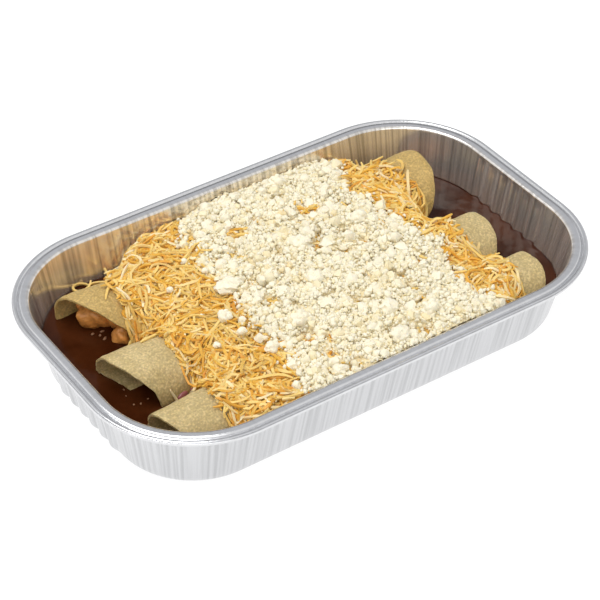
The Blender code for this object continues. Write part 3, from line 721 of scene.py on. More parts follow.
def fine_relief():
    """Node group: a normal tilted by noise of a cell size and a height, on top of another normal."""
    name = "Fine relief"
    if name in bpy.data.node_groups:
        return bpy.data.node_groups[name]
    inputs = {"Cells": "NodeSocketFloat", "Height": "NodeSocketFloat", "Detail": "NodeSocketFloat"}
    inputs["Normal"] = "NodeSocketVector"
    tree, given, result = node_group(name, inputs, {"Normal": "NodeSocketVector", "Mask": "NodeSocketFloat"})
    place = add_node(tree, "ShaderNodeTexCoord").outputs["Object"]
    noise = noise_mask(tree, place, given.outputs["Cells"], given.outputs["Detail"])
    normal = bumped(tree, noise, given.outputs["Height"], given.outputs["Normal"])
    tree.links.new(normal, result.inputs["Normal"])
    tree.links.new(noise, result.inputs["Mask"])
    return tree


def surface_normal(tree):
    """The surface's own normal."""
    return add_node(tree, "ShaderNodeNewGeometry").outputs["Normal"]


def new_material(name, **values):
    """A material with its shader's plain values set, its node tree and its shader."""
    made = bpy.data.materials.new(name)
    made.use_nodes = True
    shader = made.node_tree.nodes["Principled BSDF"]
    for key, value in values.items():
        shader.inputs[key.replace("_", " ")].default_value = value
    return made, made.node_tree, shader


def rgba(colour, scale=1.0):
    """A colour times a scale, each part at most 1, with its alpha."""
    return (*(min(1.0, scale * part) for part in colour), 1.0)


def drift(tree, first, second, cells, contrast):
    """Two colours blended by the colour drift group."""
    inputs = {"First": first, "Second": second, "Cells": cells, "Contrast": contrast}
    return add_node(tree, "ShaderNodeGroup", inputs, node_tree=colour_drift())


def relief(tree, cells, height, normal, detail=3.0):
    """A normal tilted by the fine relief group."""
    inputs = {"Cells": cells, "Height": height, "Detail": detail, "Normal": normal}
    return add_node(tree, "ShaderNodeGroup", inputs, node_tree=fine_relief()).outputs["Normal"]


def foil_material(name, tray, wall, metallic, streak, scratch):
    """Bare foil: drawing lines up the walls and across the flange, faint dents, a smoother rim. Up to the rim
    the walls take the given wall colour in place of the metal's: inside it is a warm painted reflection of
    the food, outside a darker painted shade. The lines darken them by the streak and are a scratch high."""
    made, tree, shader = new_material(name, Metallic=metallic)
    place = add_node(tree, "ShaderNodeUVMap", uv_map="foil").outputs["UV"]
    lines = add_node(tree, "ShaderNodeMapping", {"Vector": place, "Scale": DRAWING_LINES}).outputs["Vector"]
    grain = noise_mask(tree, lines, 1.0, 5.0)
    up = add_node(tree, "ShaderNodeSeparateXYZ", {"Vector": place}).outputs["Y"]
    on_rim = remapped(tree, up, WALL_END)
    tree.links.new(remapped(tree, on_rim, after=(tray.roughness, RIM_ROUGHNESS)), shader.inputs["Roughness"])
    tone = blended(tree, on_rim, rgba(wall), rgba(tray.metal))
    most = remapped(tree, on_rim, after=(streak, RIM_STREAK))
    streaks = remapped(tree, grain, (0.42, 0.64), (0.0, most))
    tree.links.new(blended(tree, streaks, tone, rgba(wall, 0.35)), shader.inputs["Base Color"])
    dents = relief(tree, 45.0, 0.0003, surface_normal(tree), detail=1.0)
    tree.links.new(bumped(tree, grain, scratch, dents, 0.4), shader.inputs["Normal"])
    return made


def sauce_material(sauce):
    """Thick glossy sauce: two dark reds in soft patches under a fine grain."""
    made, tree, shader = new_material("red_sauce", Roughness=0.17, Specular_IOR_Level=0.14)
    tone = drift(tree, rgba(sauce.colour), rgba(sauce.thin_colour), 90.0, 3.0)
    tree.links.new(tone.outputs["Colour"], shader.inputs["Base Color"])
    soft = relief(tree, 220.0, 0.00012, surface_normal(tree))
    tree.links.new(relief(tree, 1400.0, 0.00002, soft), shader.inputs["Normal"])
    return made


def corn_material(name, tortilla, shade):
    """Corn tortilla: two tones in patches, dark specks and light flecks, a coarse and a fine relief, and some
    light passing through. The colours are multiplied by the shade."""
    made, tree, shader = new_material(name, Roughness=0.72, Subsurface_Weight=0.3, Subsurface_Scale=0.0016)
    shader.inputs["Subsurface Radius"].default_value = (1.0, 0.75, 0.35)
    light = [a * b for a, b in zip(tortilla.light, shade)]
    dark = [a * b for a, b in zip(tortilla.dark, shade)]
    patches = drift(tree, rgba(light), rgba(dark), 150.0, 2.4).outputs["Colour"]
    specks = drift(tree, patches, rgba(dark, 0.5), 1250.0, 3.4)
    grain = blended(tree, 0.55, patches, specks.outputs["Colour"])
    flecks = remapped(tree, specks.outputs["Mask"], (0.0, 0.35), (0.3, 0.0))
    tree.links.new(blended(tree, flecks, grain, rgba(light, 1.25)), shader.inputs["Base Color"])
    coarse = relief(tree, 330.0, 0.0004, surface_normal(tree))
    tree.links.new(relief(tree, 1100.0, 0.00022, coarse), shader.inputs["Normal"])
    return made


def chicken_material(filling):
    """Cooked chicken in sauce: browned and pale patches with a fibrous grain, moist."""
    made, tree, shader = new_material("chicken", Roughness=0.38, Coat_Weight=0.25, Coat_Roughness=0.2)
    browned = drift(tree, rgba(filling.light), rgba(filling.dark), 150.0, 3.0).outputs["Colour"]
    tone = drift(tree, browned, rgba(filling.light, 1.35), 420.0, 2.2)
    tree.links.new(tone.outputs["Colour"], shader.inputs["Base Color"])
    place = add_node(tree, "ShaderNodeTexCoord").outputs["Object"]
    inputs = {"Vector": place, "Rotation": (0.3, 0.5, 0.4), "Scale": (220.0, 1100.0, 1100.0)}
    fibres = add_node(tree, "ShaderNodeMapping", inputs).outputs["Vector"]
    coarse = relief(tree, 300.0, 0.0006, surface_normal(tree))
    fibrous = bumped(tree, noise_mask(tree, fibres, 1.0, 2.0), 0.0005, coarse)
    tree.links.new(fibrous, shader.inputs["Normal"])
    return made


def ramp_by_tint(tree, colours):
    """A colour for each piece: its tint attribute, from 0 to 1, read through a ramp of colours."""
    tint = add_node(tree, "ShaderNodeAttribute", attribute_name="tint")
    ramp = add_node(tree, "ShaderNodeValToRGB", {"Fac": tint.outputs["Fac"]})
    stops = ramp.color_ramp.elements
    while len(stops) < len(colours):
        stops.new(0.5)
    for k, (stop, colour) in enumerate(zip(stops, colours)):
        stop.position = k / (len(colours) - 1)
        stop.color = rgba(colour)
    return ramp.outputs["Color"]


def mottled(tree, colours, patch, cells, contrast):
    """The ramp's colour, a quarter of it drifting towards the colour of a patch."""
    base = ramp_by_tint(tree, colours)
    return blended(tree, 0.25, base, drift(tree, base, rgba(patch), cells, contrast).outputs["Colour"])


def shred_material(shreds, name, colours):
    """Grated cheese: a colour for each shred, softly mottled, waxy, with some light passing through."""
    made, tree, shader = new_material(name, Roughness=0.45, Specular_IOR_Level=0.3, Subsurface_Weight=0.12)
    shader.inputs["Subsurface Scale"].default_value = 0.001
    shader.inputs["Subsurface Radius"].default_value = (1.0, 0.55, 0.2)
    tree.links.new(mottled(tree, colours, shreds.light, 500.0, 1.6), shader.inputs["Base Color"])
    tree.links.new(relief(tree, 900.0, 0.00012, surface_normal(tree)), shader.inputs["Normal"])
    return made


def crumb_material(crumbs):
    """Crumbled fresh cheese: matt and chalky, cream, with a darker, yellower tone in its hollows that is
    partly the orange shreds below and partly painted shade.
    """
    made, tree, shader = new_material("crumbled_cheese", Roughness=0.8, Subsurface_Weight=0.2)
    shader.inputs["Subsurface Scale"].default_value = 0.0007
    shader.inputs["Subsurface Radius"].default_value = (1.0, 0.85, 0.6)
    colours = (crumbs.under, crumbs.dark, crumbs.light, crumbs.light)
    tree.links.new(mottled(tree, colours, crumbs.dark, 650.0, 1.8), shader.inputs["Base Color"])
    coarse = relief(tree, 800.0, 0.0003, surface_normal(tree))
    tree.links.new(relief(tree, 2200.0, 0.0001, coarse), shader.inputs["Normal"])
    return made


class ENCHILADAS_OT_add_tray(bpy.types.Operator):
    """Adds the foil tray: one profile carried round a rounded rectangle, then given the foil's thickness"""

    bl_idname = "enchiladas.add_tray"
    bl_label = "Foil tray"

    def execute(self, context):
        tray = context.scene.enchiladas_tray
        out, height, ribs = tray_profile()
        profile = zip(out, height, np.minimum(height, RIM_Z), ribs)
        rings = [outline(wall_half(low, -o), z, tray.rib_depth * r, tray) for o, z, low, r in profile]
        points = np.stack(rings)
        rows, columns = points.shape[:2]
        quads = grid_quads(rows, columns, closed=True)[:, ::-1]
        rim = points[-1]
        along = np.concatenate([[0], np.cumsum(np.linalg.norm(np.roll(rim, -1, 0) - rim, axis=1))])
        up = np.concatenate([[0], np.cumsum(np.hypot(np.diff(out), np.diff(height)))])
        i, j = np.meshgrid(np.arange(rows - 1), np.arange(columns), indexing="ij")
        corner_u = np.stack([along[j], along[j + 1], along[j + 1], along[j]], -1)
        corner_v = np.stack([up[i + 1], up[i + 1], up[i], up[i]], -1)
        uv = np.stack([corner_u, corner_v], -1).reshape(-1, 2)
        floor = np.arange(columns)[None]
        uv = np.concatenate([uv, points[0, :, :2]])
        # The inner walls' warm tint is a painted reflection of the food round them
        inside = foil_material("foil", tray, tray.reflected_food_tint, 0.78, 0.65, 0.00009)
        obj = make_piece("tray_foil", points, [quads, floor], inside, ["tray"], sharp=60, uv=uv)
        # The outside's colour is the metal darkened: painted shade, for the dimmer surroundings its walls
        # reflect
        shaded_outside_metal = [0.88 * c for c in tray.metal]
        obj.data.materials.append(foil_material("foil_outside", tray, shaded_outside_metal, 0.92, 0.28, 0.00004))
        shell = obj.modifiers.new("thickness", "SOLIDIFY")
        shell.thickness = FOIL
        shell.offset = -1.0
        shell.use_even_offset = True
        shell.material_offset = 1
        return {"FINISHED"}


class ENCHILADAS_OT_add_sauce(bpy.types.Operator):
    """Adds the sauce: rings that shrink from the tray's wall to the middle, raised to the sauce's level"""

    bl_idname = "enchiladas.add_sauce"
    bl_label = "Red sauce"

    def surface(self, x, y, ripple):
        """The level, small ripples, and a rise that dies away exponentially from the wall and the rolls."""
        z = sauce_height(x, y) + ripple * layered_noise(x, y, 0.008, 41)
        z = z + 0.3 * ripple * value_noise(x, y, 0.0016, 44)
        climb = 0.5 * np.exp(np.minimum(wall_distance(x, y, z), 0) / CLIMB_REACH)
        for (mid_x, mid_y, _), (along, across, _) in MOUTH_CHUNKS:
            beside = np.abs(np.hypot((x - mid_x) / along, (y - mid_y) / across) - 1) * across
            climb = np.maximum(climb, np.exp(-beside / 0.0008))
        for roll in ROLLS.values():
            mid_y, _, radius = roll_line(roll, x)
            beside = np.abs(np.abs(y - mid_y) - radius + 0.0003)
            in_reach = smooth((DISC_RADIUS - 0.003 - np.abs(x - roll[2])) / 0.002)
            climb = np.maximum(climb, np.exp(-beside / CLIMB_REACH) * in_reach)
        return z + CLIMB * climb

    def execute(self, context):
        sauce, tray = context.scene.enchiladas_sauce, context.scene.enchiladas_tray
        count = round(RIM_HALF[0] / sauce.cell)
        edge = outline(wall_half(SAUCE_Z, FOIL * SIDE_INWARDS[0]), 0.0, tray.rib_depth, tray)[:, :2]
        ahead = np.roll(edge, -1, 0) - np.roll(edge, 1, 0)
        outwards = ahead[:, ::-1] * (1, -1) / np.linalg.norm(ahead, axis=1, keepdims=True)
        above = self.surface(edge[:, 0], edge[:, 1], sauce.ripple) - SAUCE_Z
        lean = (RIM_HALF - BASE_HALF)[:2] / RIM_Z
        edge = edge + outwards**3 * lean * np.minimum(above, 0)[:, None] * 1.15
        shrink = np.linspace(0, 1, count + 1)[1:, None, None]
        top = edge[None] * shrink
        heights = self.surface(top[..., 0], top[..., 1], sauce.ripple)
        top = np.concatenate([top, heights[..., None]], 2)
        inwards, ribs = np.array(SIDE_INWARDS) * FOIL, tray.rib_depth * np.array(SIDE_RIBS)
        sides = [outline(wall_half(z, i), z, r, tray) for z, i, r in zip(SIDE_Z, inwards, ribs)]
        points = np.concatenate([top, np.stack(sides)])
        rows, columns = points.shape[:2]
        quads = grid_quads(rows, columns, closed=True)
        points = points.reshape(-1, 3)
        middle = np.array([[0.0, 0.0, float(self.surface(np.zeros(1), np.zeros(1), sauce.ripple)[0])]])
        k = np.arange(columns)
        fan = np.stack([np.full(columns, len(points)), (k + 1) % columns, k], 1)
        bottom = ((rows - 1) * columns + k)[None]
        points = np.concatenate([points, middle])
        polygons = [quads[:, ::-1], fan[:, ::-1], bottom[:, ::-1]]
        make_piece("sauce_pool", points, polygons, sauce_material(sauce), ["sauce"])
        return {"FINISHED"}


class ENCHILADAS_OT_add_tortillas(bpy.types.Operator):
    """Adds the rolled tortillas: a disc rolled into a spiral, with dents, a torn edge and a thickness"""

    bl_idname = "enchiladas.add_tortillas"
    bl_label = "Rolled tortillas"

    def sheet(self, name, roll, tortilla, seed, depth):
        """One face of the sheet: places along the disc's rim and across it, rolled onto a spiral, and moved
        in by a depth. The rim is uneven by noise, and the sheet is dented by noise."""
        turns = np.linspace(ROLL_START, ROLL_END, tortilla.around)[:, None]
        even = np.linspace(-1, 1, tortilla.along)[None]
        across = 0.55 * np.sin(even * TURN / 4) + 0.45 * even
        ragged = 1 + 0.005 * layered_noise(turns * 0.09, np.sign(across), 0.006, seed)
        reach = np.sqrt(DISC_RADIUS**2 - (turns * TURN * ROLL_RADIUS) ** 2) * ragged
        further, cut, near_right = ENDS[name]
        degrees = turns * 360 + roll[3]
        left = further - cut * bell(degrees, *CUT_AT)
        right = near_right * bell(degrees, *FURTHER_AT)
        reach = reach + np.where(across < 0, left, right)
        x = roll[2] + across * reach
        mid_y, mid_z, radius = roll_line(roll, x)
        inner = smooth((turns[-1] - turns - LAYER_TURNS[0]) / LAYER_TURNS[1])
        along = turns * TURN * ROLL_RADIUS
        dents = tortilla.dents * layered_noise(x, along, 0.017, seed + 7)
        grain = 0.00012 * value_noise(x, along, 0.0016, seed + 11)
        from_edge = np.minimum((1 - np.abs(across)) * reach, 1.0)
        thin = 0.5 + 0.5 * smooth(from_edge / 0.0016)
        out = radius - LAYER_PITCH * inner + dents + grain
        out = out - depth * thin * TORTILLA - (1 - thin) * 0.3 * TORTILLA
        angle = math.radians(roll[3]) + turns * TURN
        return np.stack([x, mid_y + out * np.cos(angle), mid_z + out * np.sin(angle)], 2)

    def mouth_layer(self, name, depth):
        """One face of the layer inside a left mouth: a shallow half ellipse across the roll, just above the
        sauce, with a slanting front edge. It dips into the sauce on the near side."""
        angle = np.radians(np.linspace(25, -160, 60))[:, None]
        inwards = np.linspace(0, 0.013, 30)[None]
        roll, reach = ROLLS[name], MOUTH_LAYERS[name]
        tip = roll[2] - DISC_RADIUS - ENDS[name][0]
        mid_y, _, radius = roll_line(roll, tip)
        wide = radius - 0.0012
        from_far = wide * (1 - np.cos(angle))
        x = tip + 0.0012 + 0.36 * from_far + inwards + 0.0003 * value_noise(from_far, from_far, 0.002, 55)
        y = mid_y + wide * np.cos(angle) + 0 * inwards
        level = sauce_height(x, y) + 0.0013
        z = level + (0.0034 + 0.0008 * np.sign(np.sin(angle))) * np.sin(angle) * (np.sin(angle) > 0)
        z = z - 0.0003 * np.sin(-angle) - 0.0035 * smooth((from_far - reach) / 0.005) - depth * 0.0009
        return np.stack([x, y + 0 * z, z], 2)

    def execute(self, context):
        tortilla = context.scene.enchiladas_tortilla
        plain = corn_material("corn_tortilla", tortilla, (1, 1, 1))
        yellow = corn_material("yellow_tortilla", tortilla, tortilla.yellow)
        for index, (name, roll) in enumerate(ROLLS.items()):
            outer = self.sheet(name, roll, tortilla, 100 * index + 51, 0.0)
            inner = self.sheet(name, roll, tortilla, 100 * index + 51, 1.0)
            points, polygons = closed_sheet(outer, inner)
            surface = plain if index else yellow
            make_piece(f"rolled_{name}", points, polygons, surface, [name], sharp=50)
            if name in MOUTH_LAYERS:
                points, polygons = closed_sheet(self.mouth_layer(name, 0.0), self.mouth_layer(name, 1.0))
                make_piece(f"mouth_layer_{name[-1]}", points, polygons, surface, sharp=50)
        return {"FINISHED"}


class ENCHILADAS_OT_add_filling(bpy.types.Operator):
    """Adds the chicken: a lumpy log in each roll, with chunks at its ends"""

    bl_idname = "enchiladas.add_filling"
    bl_label = "Chicken filling"

    def log(self, roll, seed):
        """A log along the roll: circles whose radius swells by noise and shrinks to nothing at both ends."""
        t = np.linspace(-1, 1, 60)[:, None]
        angle = np.linspace(0, TURN, 32, endpoint=False)[None]
        x = roll[2] + t * FILLING_END + 0 * angle
        mid_y, mid_z, _ = roll_line(roll, x)
        swell = 0.0009 * layered_noise(x, np.sin(angle) * 0.01, 0.006, seed)
        radius = (FILLING_RADIUS + swell) * np.sqrt(np.maximum(1 - t**12, 0.0004))
        return np.stack([x, mid_y + radius * np.cos(angle), mid_z + radius * np.sin(angle)], 2)

    def execute(self, context):
        surface = chicken_material(context.scene.enchiladas_filling)
        shape = ball(15, 22)
        for index, roll in enumerate(ROLLS.values(), 1):
            rng = np.random.default_rng(60 + index)
            log = self.log(roll, 60 + index)
            rows, columns = log.shape[:2]
            caps = np.stack([np.arange(columns), (rows - 1) * columns + np.arange(columns)[::-1]])
            polygons = [grid_quads(rows, columns, closed=True)[:, ::-1], caps]
            replaced = [f"filling_{index}"]
            make_piece(f"filling_log_{index}", log, polygons, surface, replaced)
            middles, halves = [], []
            for end in (-1, 1):
                x = roll[2] + end * FILLING_END
                mid_y, mid_z, _ = roll_line(roll, x)
                for turn in (end, end + TURN / 2, end + TURN / 4):
                    away = 0.35 * FILLING_RADIUS
                    middles.append((x, mid_y + away * math.cos(turn), mid_z + away * math.sin(turn)))
                    halves.append(rng.uniform(0.0044, 0.0056, 3))
            if index == 1:
                middles += [middle for middle, _ in MOUTH_CHUNKS]
                halves += [half for _, half in MOUTH_CHUNKS]
            middles, halves = np.array(middles), np.array(halves)
            placed, faces = lumps(middles, halves, shape, rng, 0.0, turned=False)
            away = placed - middles[:, None]
            flat = layered_noise(away[..., 0] + 0.7 * away[..., 2], away[..., 1], 0.0045, 64 + index)
            placed = middles[:, None] + away * (1 + 0.24 * flat)[..., None]
            make_piece(f"chicken_chunks_{index}", placed, [faces], surface)
        return {"FINISHED"}


class ENCHILADAS_OT_add_shreds(bpy.types.Operator):
    """Adds the shredded cheese: a packed core, and thousands of loose curved shreds draped over it"""

    bl_idname = "enchiladas.add_shreds"
    bl_label = "Shredded cheese"

    steps = 7

    def paths(self, x, y, length, rng):
        """Places along each shred: its heading turns by a bend and a wave, some curl right round, and the
        places are the running sums of its cosine and sine."""
        count = len(x)
        t = np.linspace(-0.5, 0.5, self.steps)[None]
        heading = rng.uniform(0, TURN, (count, 1))
        curled = rng.choice([-1, 0, 1], (count, 1), p=[0.06, 0.88, 0.06])
        bend = rng.normal(0, 1.0, (count, 1)) + curled * rng.uniform(2.5, 5, (count, 1))
        wave = rng.normal(0, 0.9, (count, 1))
        turn = heading + bend * t + wave * (4 * t * t - 0.33)
        step = length[:, None] / (self.steps - 1)
        px, py = np.cumsum(np.cos(turn), 1) * step, np.cumsum(np.sin(turn), 1) * step
        return x[:, None] + px - px.mean(1, keepdims=True), y[:, None] + py - py.mean(1, keepdims=True), t

    def drape(self, px, py, t, lift, length, rng):
        """Heights along each shred: what it lies on, plus its own lift, tilt and arch, then relaxed towards
        the mean of its neighbours a few times without sinking into what it lies on."""
        low = ground(px, py) + SHRED_REST
        raised = rng.random((len(px), 1)) < 0.1
        tilt = rng.normal(0, 0.14, (len(px), 1)) + raised * rng.uniform(-0.45, 0.45, (len(px), 1))
        arch = rng.uniform(-0.03, 0.1, (len(px), 1))
        z = low + lift[:, None] + length[:, None] * (tilt * t + arch * (1 - 4 * t * t))
        for _ in range(3):
            middle = 0.4 * z[:, 1:-1] + 0.3 * (z[:, :-2] + z[:, 2:])
            z[:, 1:-1] = np.maximum(middle, low[:, 1:-1] - SHRED_REST)
        return z

    def stays(self, x, y, rng):
        """Which shreds stay: most of those that the crumbs leave in sight, and few of those under them."""
        edge, covered = shreds_edge(x, y), crumbs_edge(x, y)
        chance = smooth(1.7 * edge) * np.where(covered > 0.93, 0.07 + 0.75 * bare(x, y), 1.0)
        return rng.random(len(x)) < np.maximum(chance, 0.05 * (edge > 0.002))

    def shreds(self, name, count, seed, surface, settings, lift):
        """Makes the shreds that stay. Their widths, thicknesses and twists are random."""
        rng = np.random.default_rng(seed)
        x, y = spread_places(count, *SHREDS_SPREAD, seed).T
        kept = self.stays(x, y, rng)
        x, y = x[kept], y[kept]
        length = np.clip(rng.lognormal(math.log(settings.length), 0.36, len(x)), *SHRED_LENGTHS)
        px, py, t = self.paths(x, y, length, rng)
        z = self.drape(px, py, t, rng.uniform(*lift, len(x)), length, rng)
        inside = (wall_distance(px, py, np.minimum(z, RIM_Z)) < -0.0009).all(1)
        inside &= (shreds_edge(px, py).min(1) > 0.16) | (rng.random(len(x)) < 0.03)
        path = np.stack([px, py, z], 2)[inside]
        count = len(path)
        taper = 1 - 0.45 * np.abs(2 * t) ** 6
        width = settings.width * rng.uniform(0.75, 1.2, (count, 1)) * taper
        thickness = settings.width * rng.uniform(0.55, 0.85, (count, 1)) * taper
        twist = rng.uniform(-0.7, 0.7, (count, 1)) + rng.normal(0, 1.0, (count, 1)) * t
        points, faces = sweep(path, width, thickness, twist)
        # The lowest tints lean a little from the deep colour towards the painted shade
        tint = np.repeat(0.22 + 0.78 * rng.beta(1.0, 1.25, count), 4 * self.steps)
        return make_piece(name, points, [faces], surface, sharp=40, tint=tint)

    def execute(self, context):
        settings = context.scene.enchiladas_shreds
        colours = (settings.shade, settings.deep, settings.middle, settings.middle, settings.light)
        surface = shred_material(settings, "shredded_cheese", colours)
        colours = (settings.middle, settings.light, settings.light, settings.palest)
        pale = shred_material(settings, "pale_shreds", colours)
        # A tint of 0.3 would be lighter; 0.05 gives the core almost the shade colour: painted shade in the
        # gaps
        core = HeapCore("shreds_core", shreds_core, (0.08, 0.0605), 0.001, sauce_height)
        core.make(surface, ["shredded_cheese"], 0.05)
        self.shreds("orange_shreds", settings.orange_count, 71, surface, settings, (-0.0006, 0.0024))
        self.shreds("pale_shreds", settings.pale_count, 72, pale, settings, (0.0002, 0.0027))
        return {"FINISHED"}


class ENCHILADAS_OT_add_scraps(bpy.types.Operator):
    """Adds what lies loose beside the heap: single shreds, onion bits, pale bits on the sauce, and bubbles
    on it coloured pale as painted highlights
    """

    bl_idname = "enchiladas.add_scraps"
    bl_label = "Loose bits"

    steps = 14

    def loose_shreds(self, surface, width):
        """Single shreds: arcs of a circle, laid on what is under them, with one end raised by a square."""
        places, headings, bends, lengths, rises = (np.array(column) for column in zip(*LOOSE_SHREDS))
        t = np.linspace(-0.5, 0.5, self.steps)[None]
        turn = np.radians(headings[:, None] + bends[:, None] * t)
        step = lengths[:, None] / (self.steps - 1)
        x, y = np.cumsum(np.cos(turn), 1) * step, np.cumsum(np.sin(turn), 1) * step
        x = x - x.mean(1, keepdims=True) + places[:, :1]
        y = y - y.mean(1, keepdims=True) + places[:, 1:]
        z = ground(x, y) + 0.0006 + rises[:, None] * (t + 0.5) ** 2
        for _ in range(3):
            z[:, 1:-1] = np.maximum(z[:, 1:-1], 0.5 * (z[:, :-2] + z[:, 2:]))
        size = np.full(x.shape, width) * (1 - 0.4 * np.abs(2 * t) ** 6)
        points, faces = sweep(np.stack([x, y, z], 2), size, 0.75 * size, np.zeros_like(x))
        tint = np.repeat(np.linspace(0.3, 0.95, len(x)), 4 * x.shape[1])
        make_piece("loose_shreds", points, [faces], surface, sharp=40, tint=tint)

    def bits(self, name, places, under, halves, rise, surface, seed):
        """Uneven balls, each with its middle a part of its half height above what is under it."""
        rng = np.random.default_rng(seed)
        x, y = np.array(places).T
        middles = np.stack([x, y, under(x, y) + rise * halves[2]], 1)
        sizes = np.array(halves) * rng.uniform(0.7, 1.2, (len(x), 1))
        placed, faces = lumps(middles, sizes, ball(5, 8), rng, 0.12)
        tint = np.full(placed.shape[:2], 0.5)
        make_piece(name, placed, [faces], surface, tint=tint)

    def execute(self, context):
        self.loose_shreds(bpy.data.materials["pale_shreds"], context.scene.enchiladas_shreds.width)
        scraps = context.scene.enchiladas_scraps
        onion = new_material("onion", Roughness=0.3, Base_Color=rgba(scraps.onion))[0]
        pale = new_material("pale_bits", Roughness=0.3, Base_Color=rgba(scraps.pale))[0]
        self.bits("onion_bits", ONIONS, ground, (0.0024, 0.0015, 0.0009), 0.6, onion, 81)
        self.bits("pale_bits", PALE_BITS, sauce_height, (0.0009, 0.0006, 0.0004), 0.3, pale, 82)
        # Bubbles in the sauce, coloured pale: painted highlights for their glints
        self.bits("sauce_glint_specks", GLINT_SPECKS, sauce_height, (0.0005, 0.0004, 0.0003), 0.6, pale, 83)
        return {"FINISHED"}


class HeapCore:
    """A closed block whose top is a height function on a grid, kept inside the tray and above a floor."""

    def __init__(self, name, height, spread, cell, floor):
        self.name, self.height, self.spread, self.cell, self.floor = name, height, spread, cell, floor

    def drawn_in(self, x, y, height):
        """The places' y, less what lies outside the wall at their height, in a few rounds."""
        for _ in range(4):
            over = np.maximum(wall_distance(x, y, height(y)) + 0.0004, 0)
            y = y - np.sign(y) * over
        return y

    def make(self, surface, replaced, tint):
        """The top is the height, or a little under the floor where the height is lower. The sides go down to
        a flat base, and all of it is drawn in from the wall."""
        rows, columns = (round(2 * half / self.cell) for half in self.spread)
        along = np.linspace(-1, 1, rows) * self.spread[0]
        across = np.linspace(-1, 1, columns) * self.spread[1]
        x, y = np.meshgrid(along, across, indexing="ij")
        y = self.drawn_in(x, y, lambda y: np.clip(self.height(x, y), 0.003, RIM_Z))
        low = np.maximum(self.floor(x, y) - 0.0025, HEAP_BASE + 0.0005)
        top = np.maximum(self.height(x, y), low)
        points = np.stack([x, y, top], 2).reshape(-1, 3)
        base_y = self.drawn_in(x, y, lambda y: np.full_like(y, HEAP_BASE))
        base = np.stack([x, base_y, np.full_like(x, HEAP_BASE)], 2).reshape(-1, 3)
        count = rows * columns
        face = grid_quads(rows, columns, closed=False)
        rim, after = grid_rim(rows, columns)
        sides = np.stack([rim, after, after + count, rim + count], 1)
        bottom = (rim[::-1] + count)[None]
        used = np.concatenate([np.arange(count), rim + count])
        index = np.full(2 * count, -1)
        index[used] = np.arange(len(used))
        points = np.concatenate([points, base])[used]
        polygons = [index[face[:, ::-1]], index[sides], index[bottom]]
        values = np.full(len(points), tint)
        return make_piece(self.name, points, polygons, surface, replaced, tint=values)


class ENCHILADAS_OT_add_crumbs(bpy.types.Operator):
    """Adds the crumbled cheese: a bumpy core, fine and coarse crumbs on it, and a few large lumps"""

    bl_idname = "enchiladas.add_crumbs"
    bl_label = "Crumbled cheese"

    def scattered(self, name, count, radius, shape, seed, surface, rise, sharp):
        """Random crumbs on the core, with log-normal radii, fewer at the layer's ends and over its gaps."""
        rng = np.random.default_rng(seed)
        x, y = spread_places(count, *CRUMBS_SPREAD, seed).T
        edge, open_place = crumbs_edge(x, y), bare(x, y)
        spill = 0.1 * np.exp(-np.abs(edge - 0.02) / 0.03) * (edge > 0.0005)
        chance = smooth(1.5 * edge) * (1 - 0.93 * open_place)
        kept = rng.random(count) < np.maximum(chance, spill)
        x, y, edge = x[kept], y[kept], edge[kept]
        size = np.clip(rng.lognormal(math.log(radius), 0.35, len(x)), 0.5 * radius, 2.2 * radius)
        on_shreds = np.maximum(shreds_height(x, y) + 0.0004, crumbs_core(x, y))
        z = np.maximum(on_shreds, sauce_height(x, y)) + size * rng.uniform(*rise, len(x))
        inside = wall_distance(x, y, np.minimum(z, RIM_Z)) < -0.3 * size - 0.0004 - 0.0012 * (y > 0)
        middles = np.stack([x, y, z], 1)[inside]
        halves = size[inside, None] * rng.uniform(0.75, 1.2, (len(middles), 3))
        placed, faces = lumps(middles, halves, shape, rng, 0.28)
        stained = smooth((value_noise(middles[:, 0], middles[:, 1], 0.005, 32) - 0.3) / 0.5)
        tint = rng.uniform(0.35, 1, len(middles)) * (1 - 0.6 * stained * rng.random(len(middles)))
        tint = np.repeat(tint, len(shape[0]))
        make_piece(name, placed, [faces], surface, sharp=sharp, tint=tint)

    def clumps(self, surface):
        """The large lumps: balls with round bumps on them."""
        rng = np.random.default_rng(95)
        shape = ball(13, 20)
        places, halves, lifts = zip(*CLUMPS)
        x, y = np.array(places).T * MM
        rest = np.maximum(shreds_height(x, y) + 0.0006, crumbs_core(x, y) + 0.0008)
        middles = np.stack([x, y, rest + np.array(lifts) * MM], 1)
        placed, faces = lumps(middles, np.array(halves) * MM, shape, rng, 0.03, turned=False)
        away = placed - middles[:, None]
        bumps = pebbles(placed[..., 0] + away[..., 2] * 0.7, placed[..., 1] + away[..., 2] * 0.5, 0.0022, 96)
        grains = pebbles(placed[..., 0] + away[..., 2], placed[..., 1] - away[..., 2], 0.0009, 97)
        placed = middles[:, None] + away * (0.7 + 0.36 * bumps + 0.16 * grains)[..., None]
        tint = np.repeat(rng.uniform(0.8, 1, len(middles)), len(shape[0]))
        make_piece("cheese_clumps", placed, [faces], surface, sharp=35, tint=tint)

    def execute(self, context):
        settings = context.scene.enchiladas_crumbs
        surface = crumb_material(settings)
        # A tint of 0.3 gives the core a darker yellow, partly the shreds below and partly painted shade in
        # its gaps
        core = HeapCore("crumbs_core", crumbs_core, (0.064, 0.0603), 0.0007, shreds_core)
        core.make(surface, ["crumbled_cheese"], 0.3)
        fine, coarse = ball(2, 5), ball(4, 6)
        self.scattered("fine_crumbs", settings.fine_count, settings.fine, fine, 91, surface, (0.1, 1.6), None)
        count, radius = settings.coarse_count, settings.coarse
        self.scattered("coarse_crumbs", count, radius, coarse, 92, surface, (-0.2, 0.6), 40)
        self.clumps(surface)
        return {"FINISHED"}


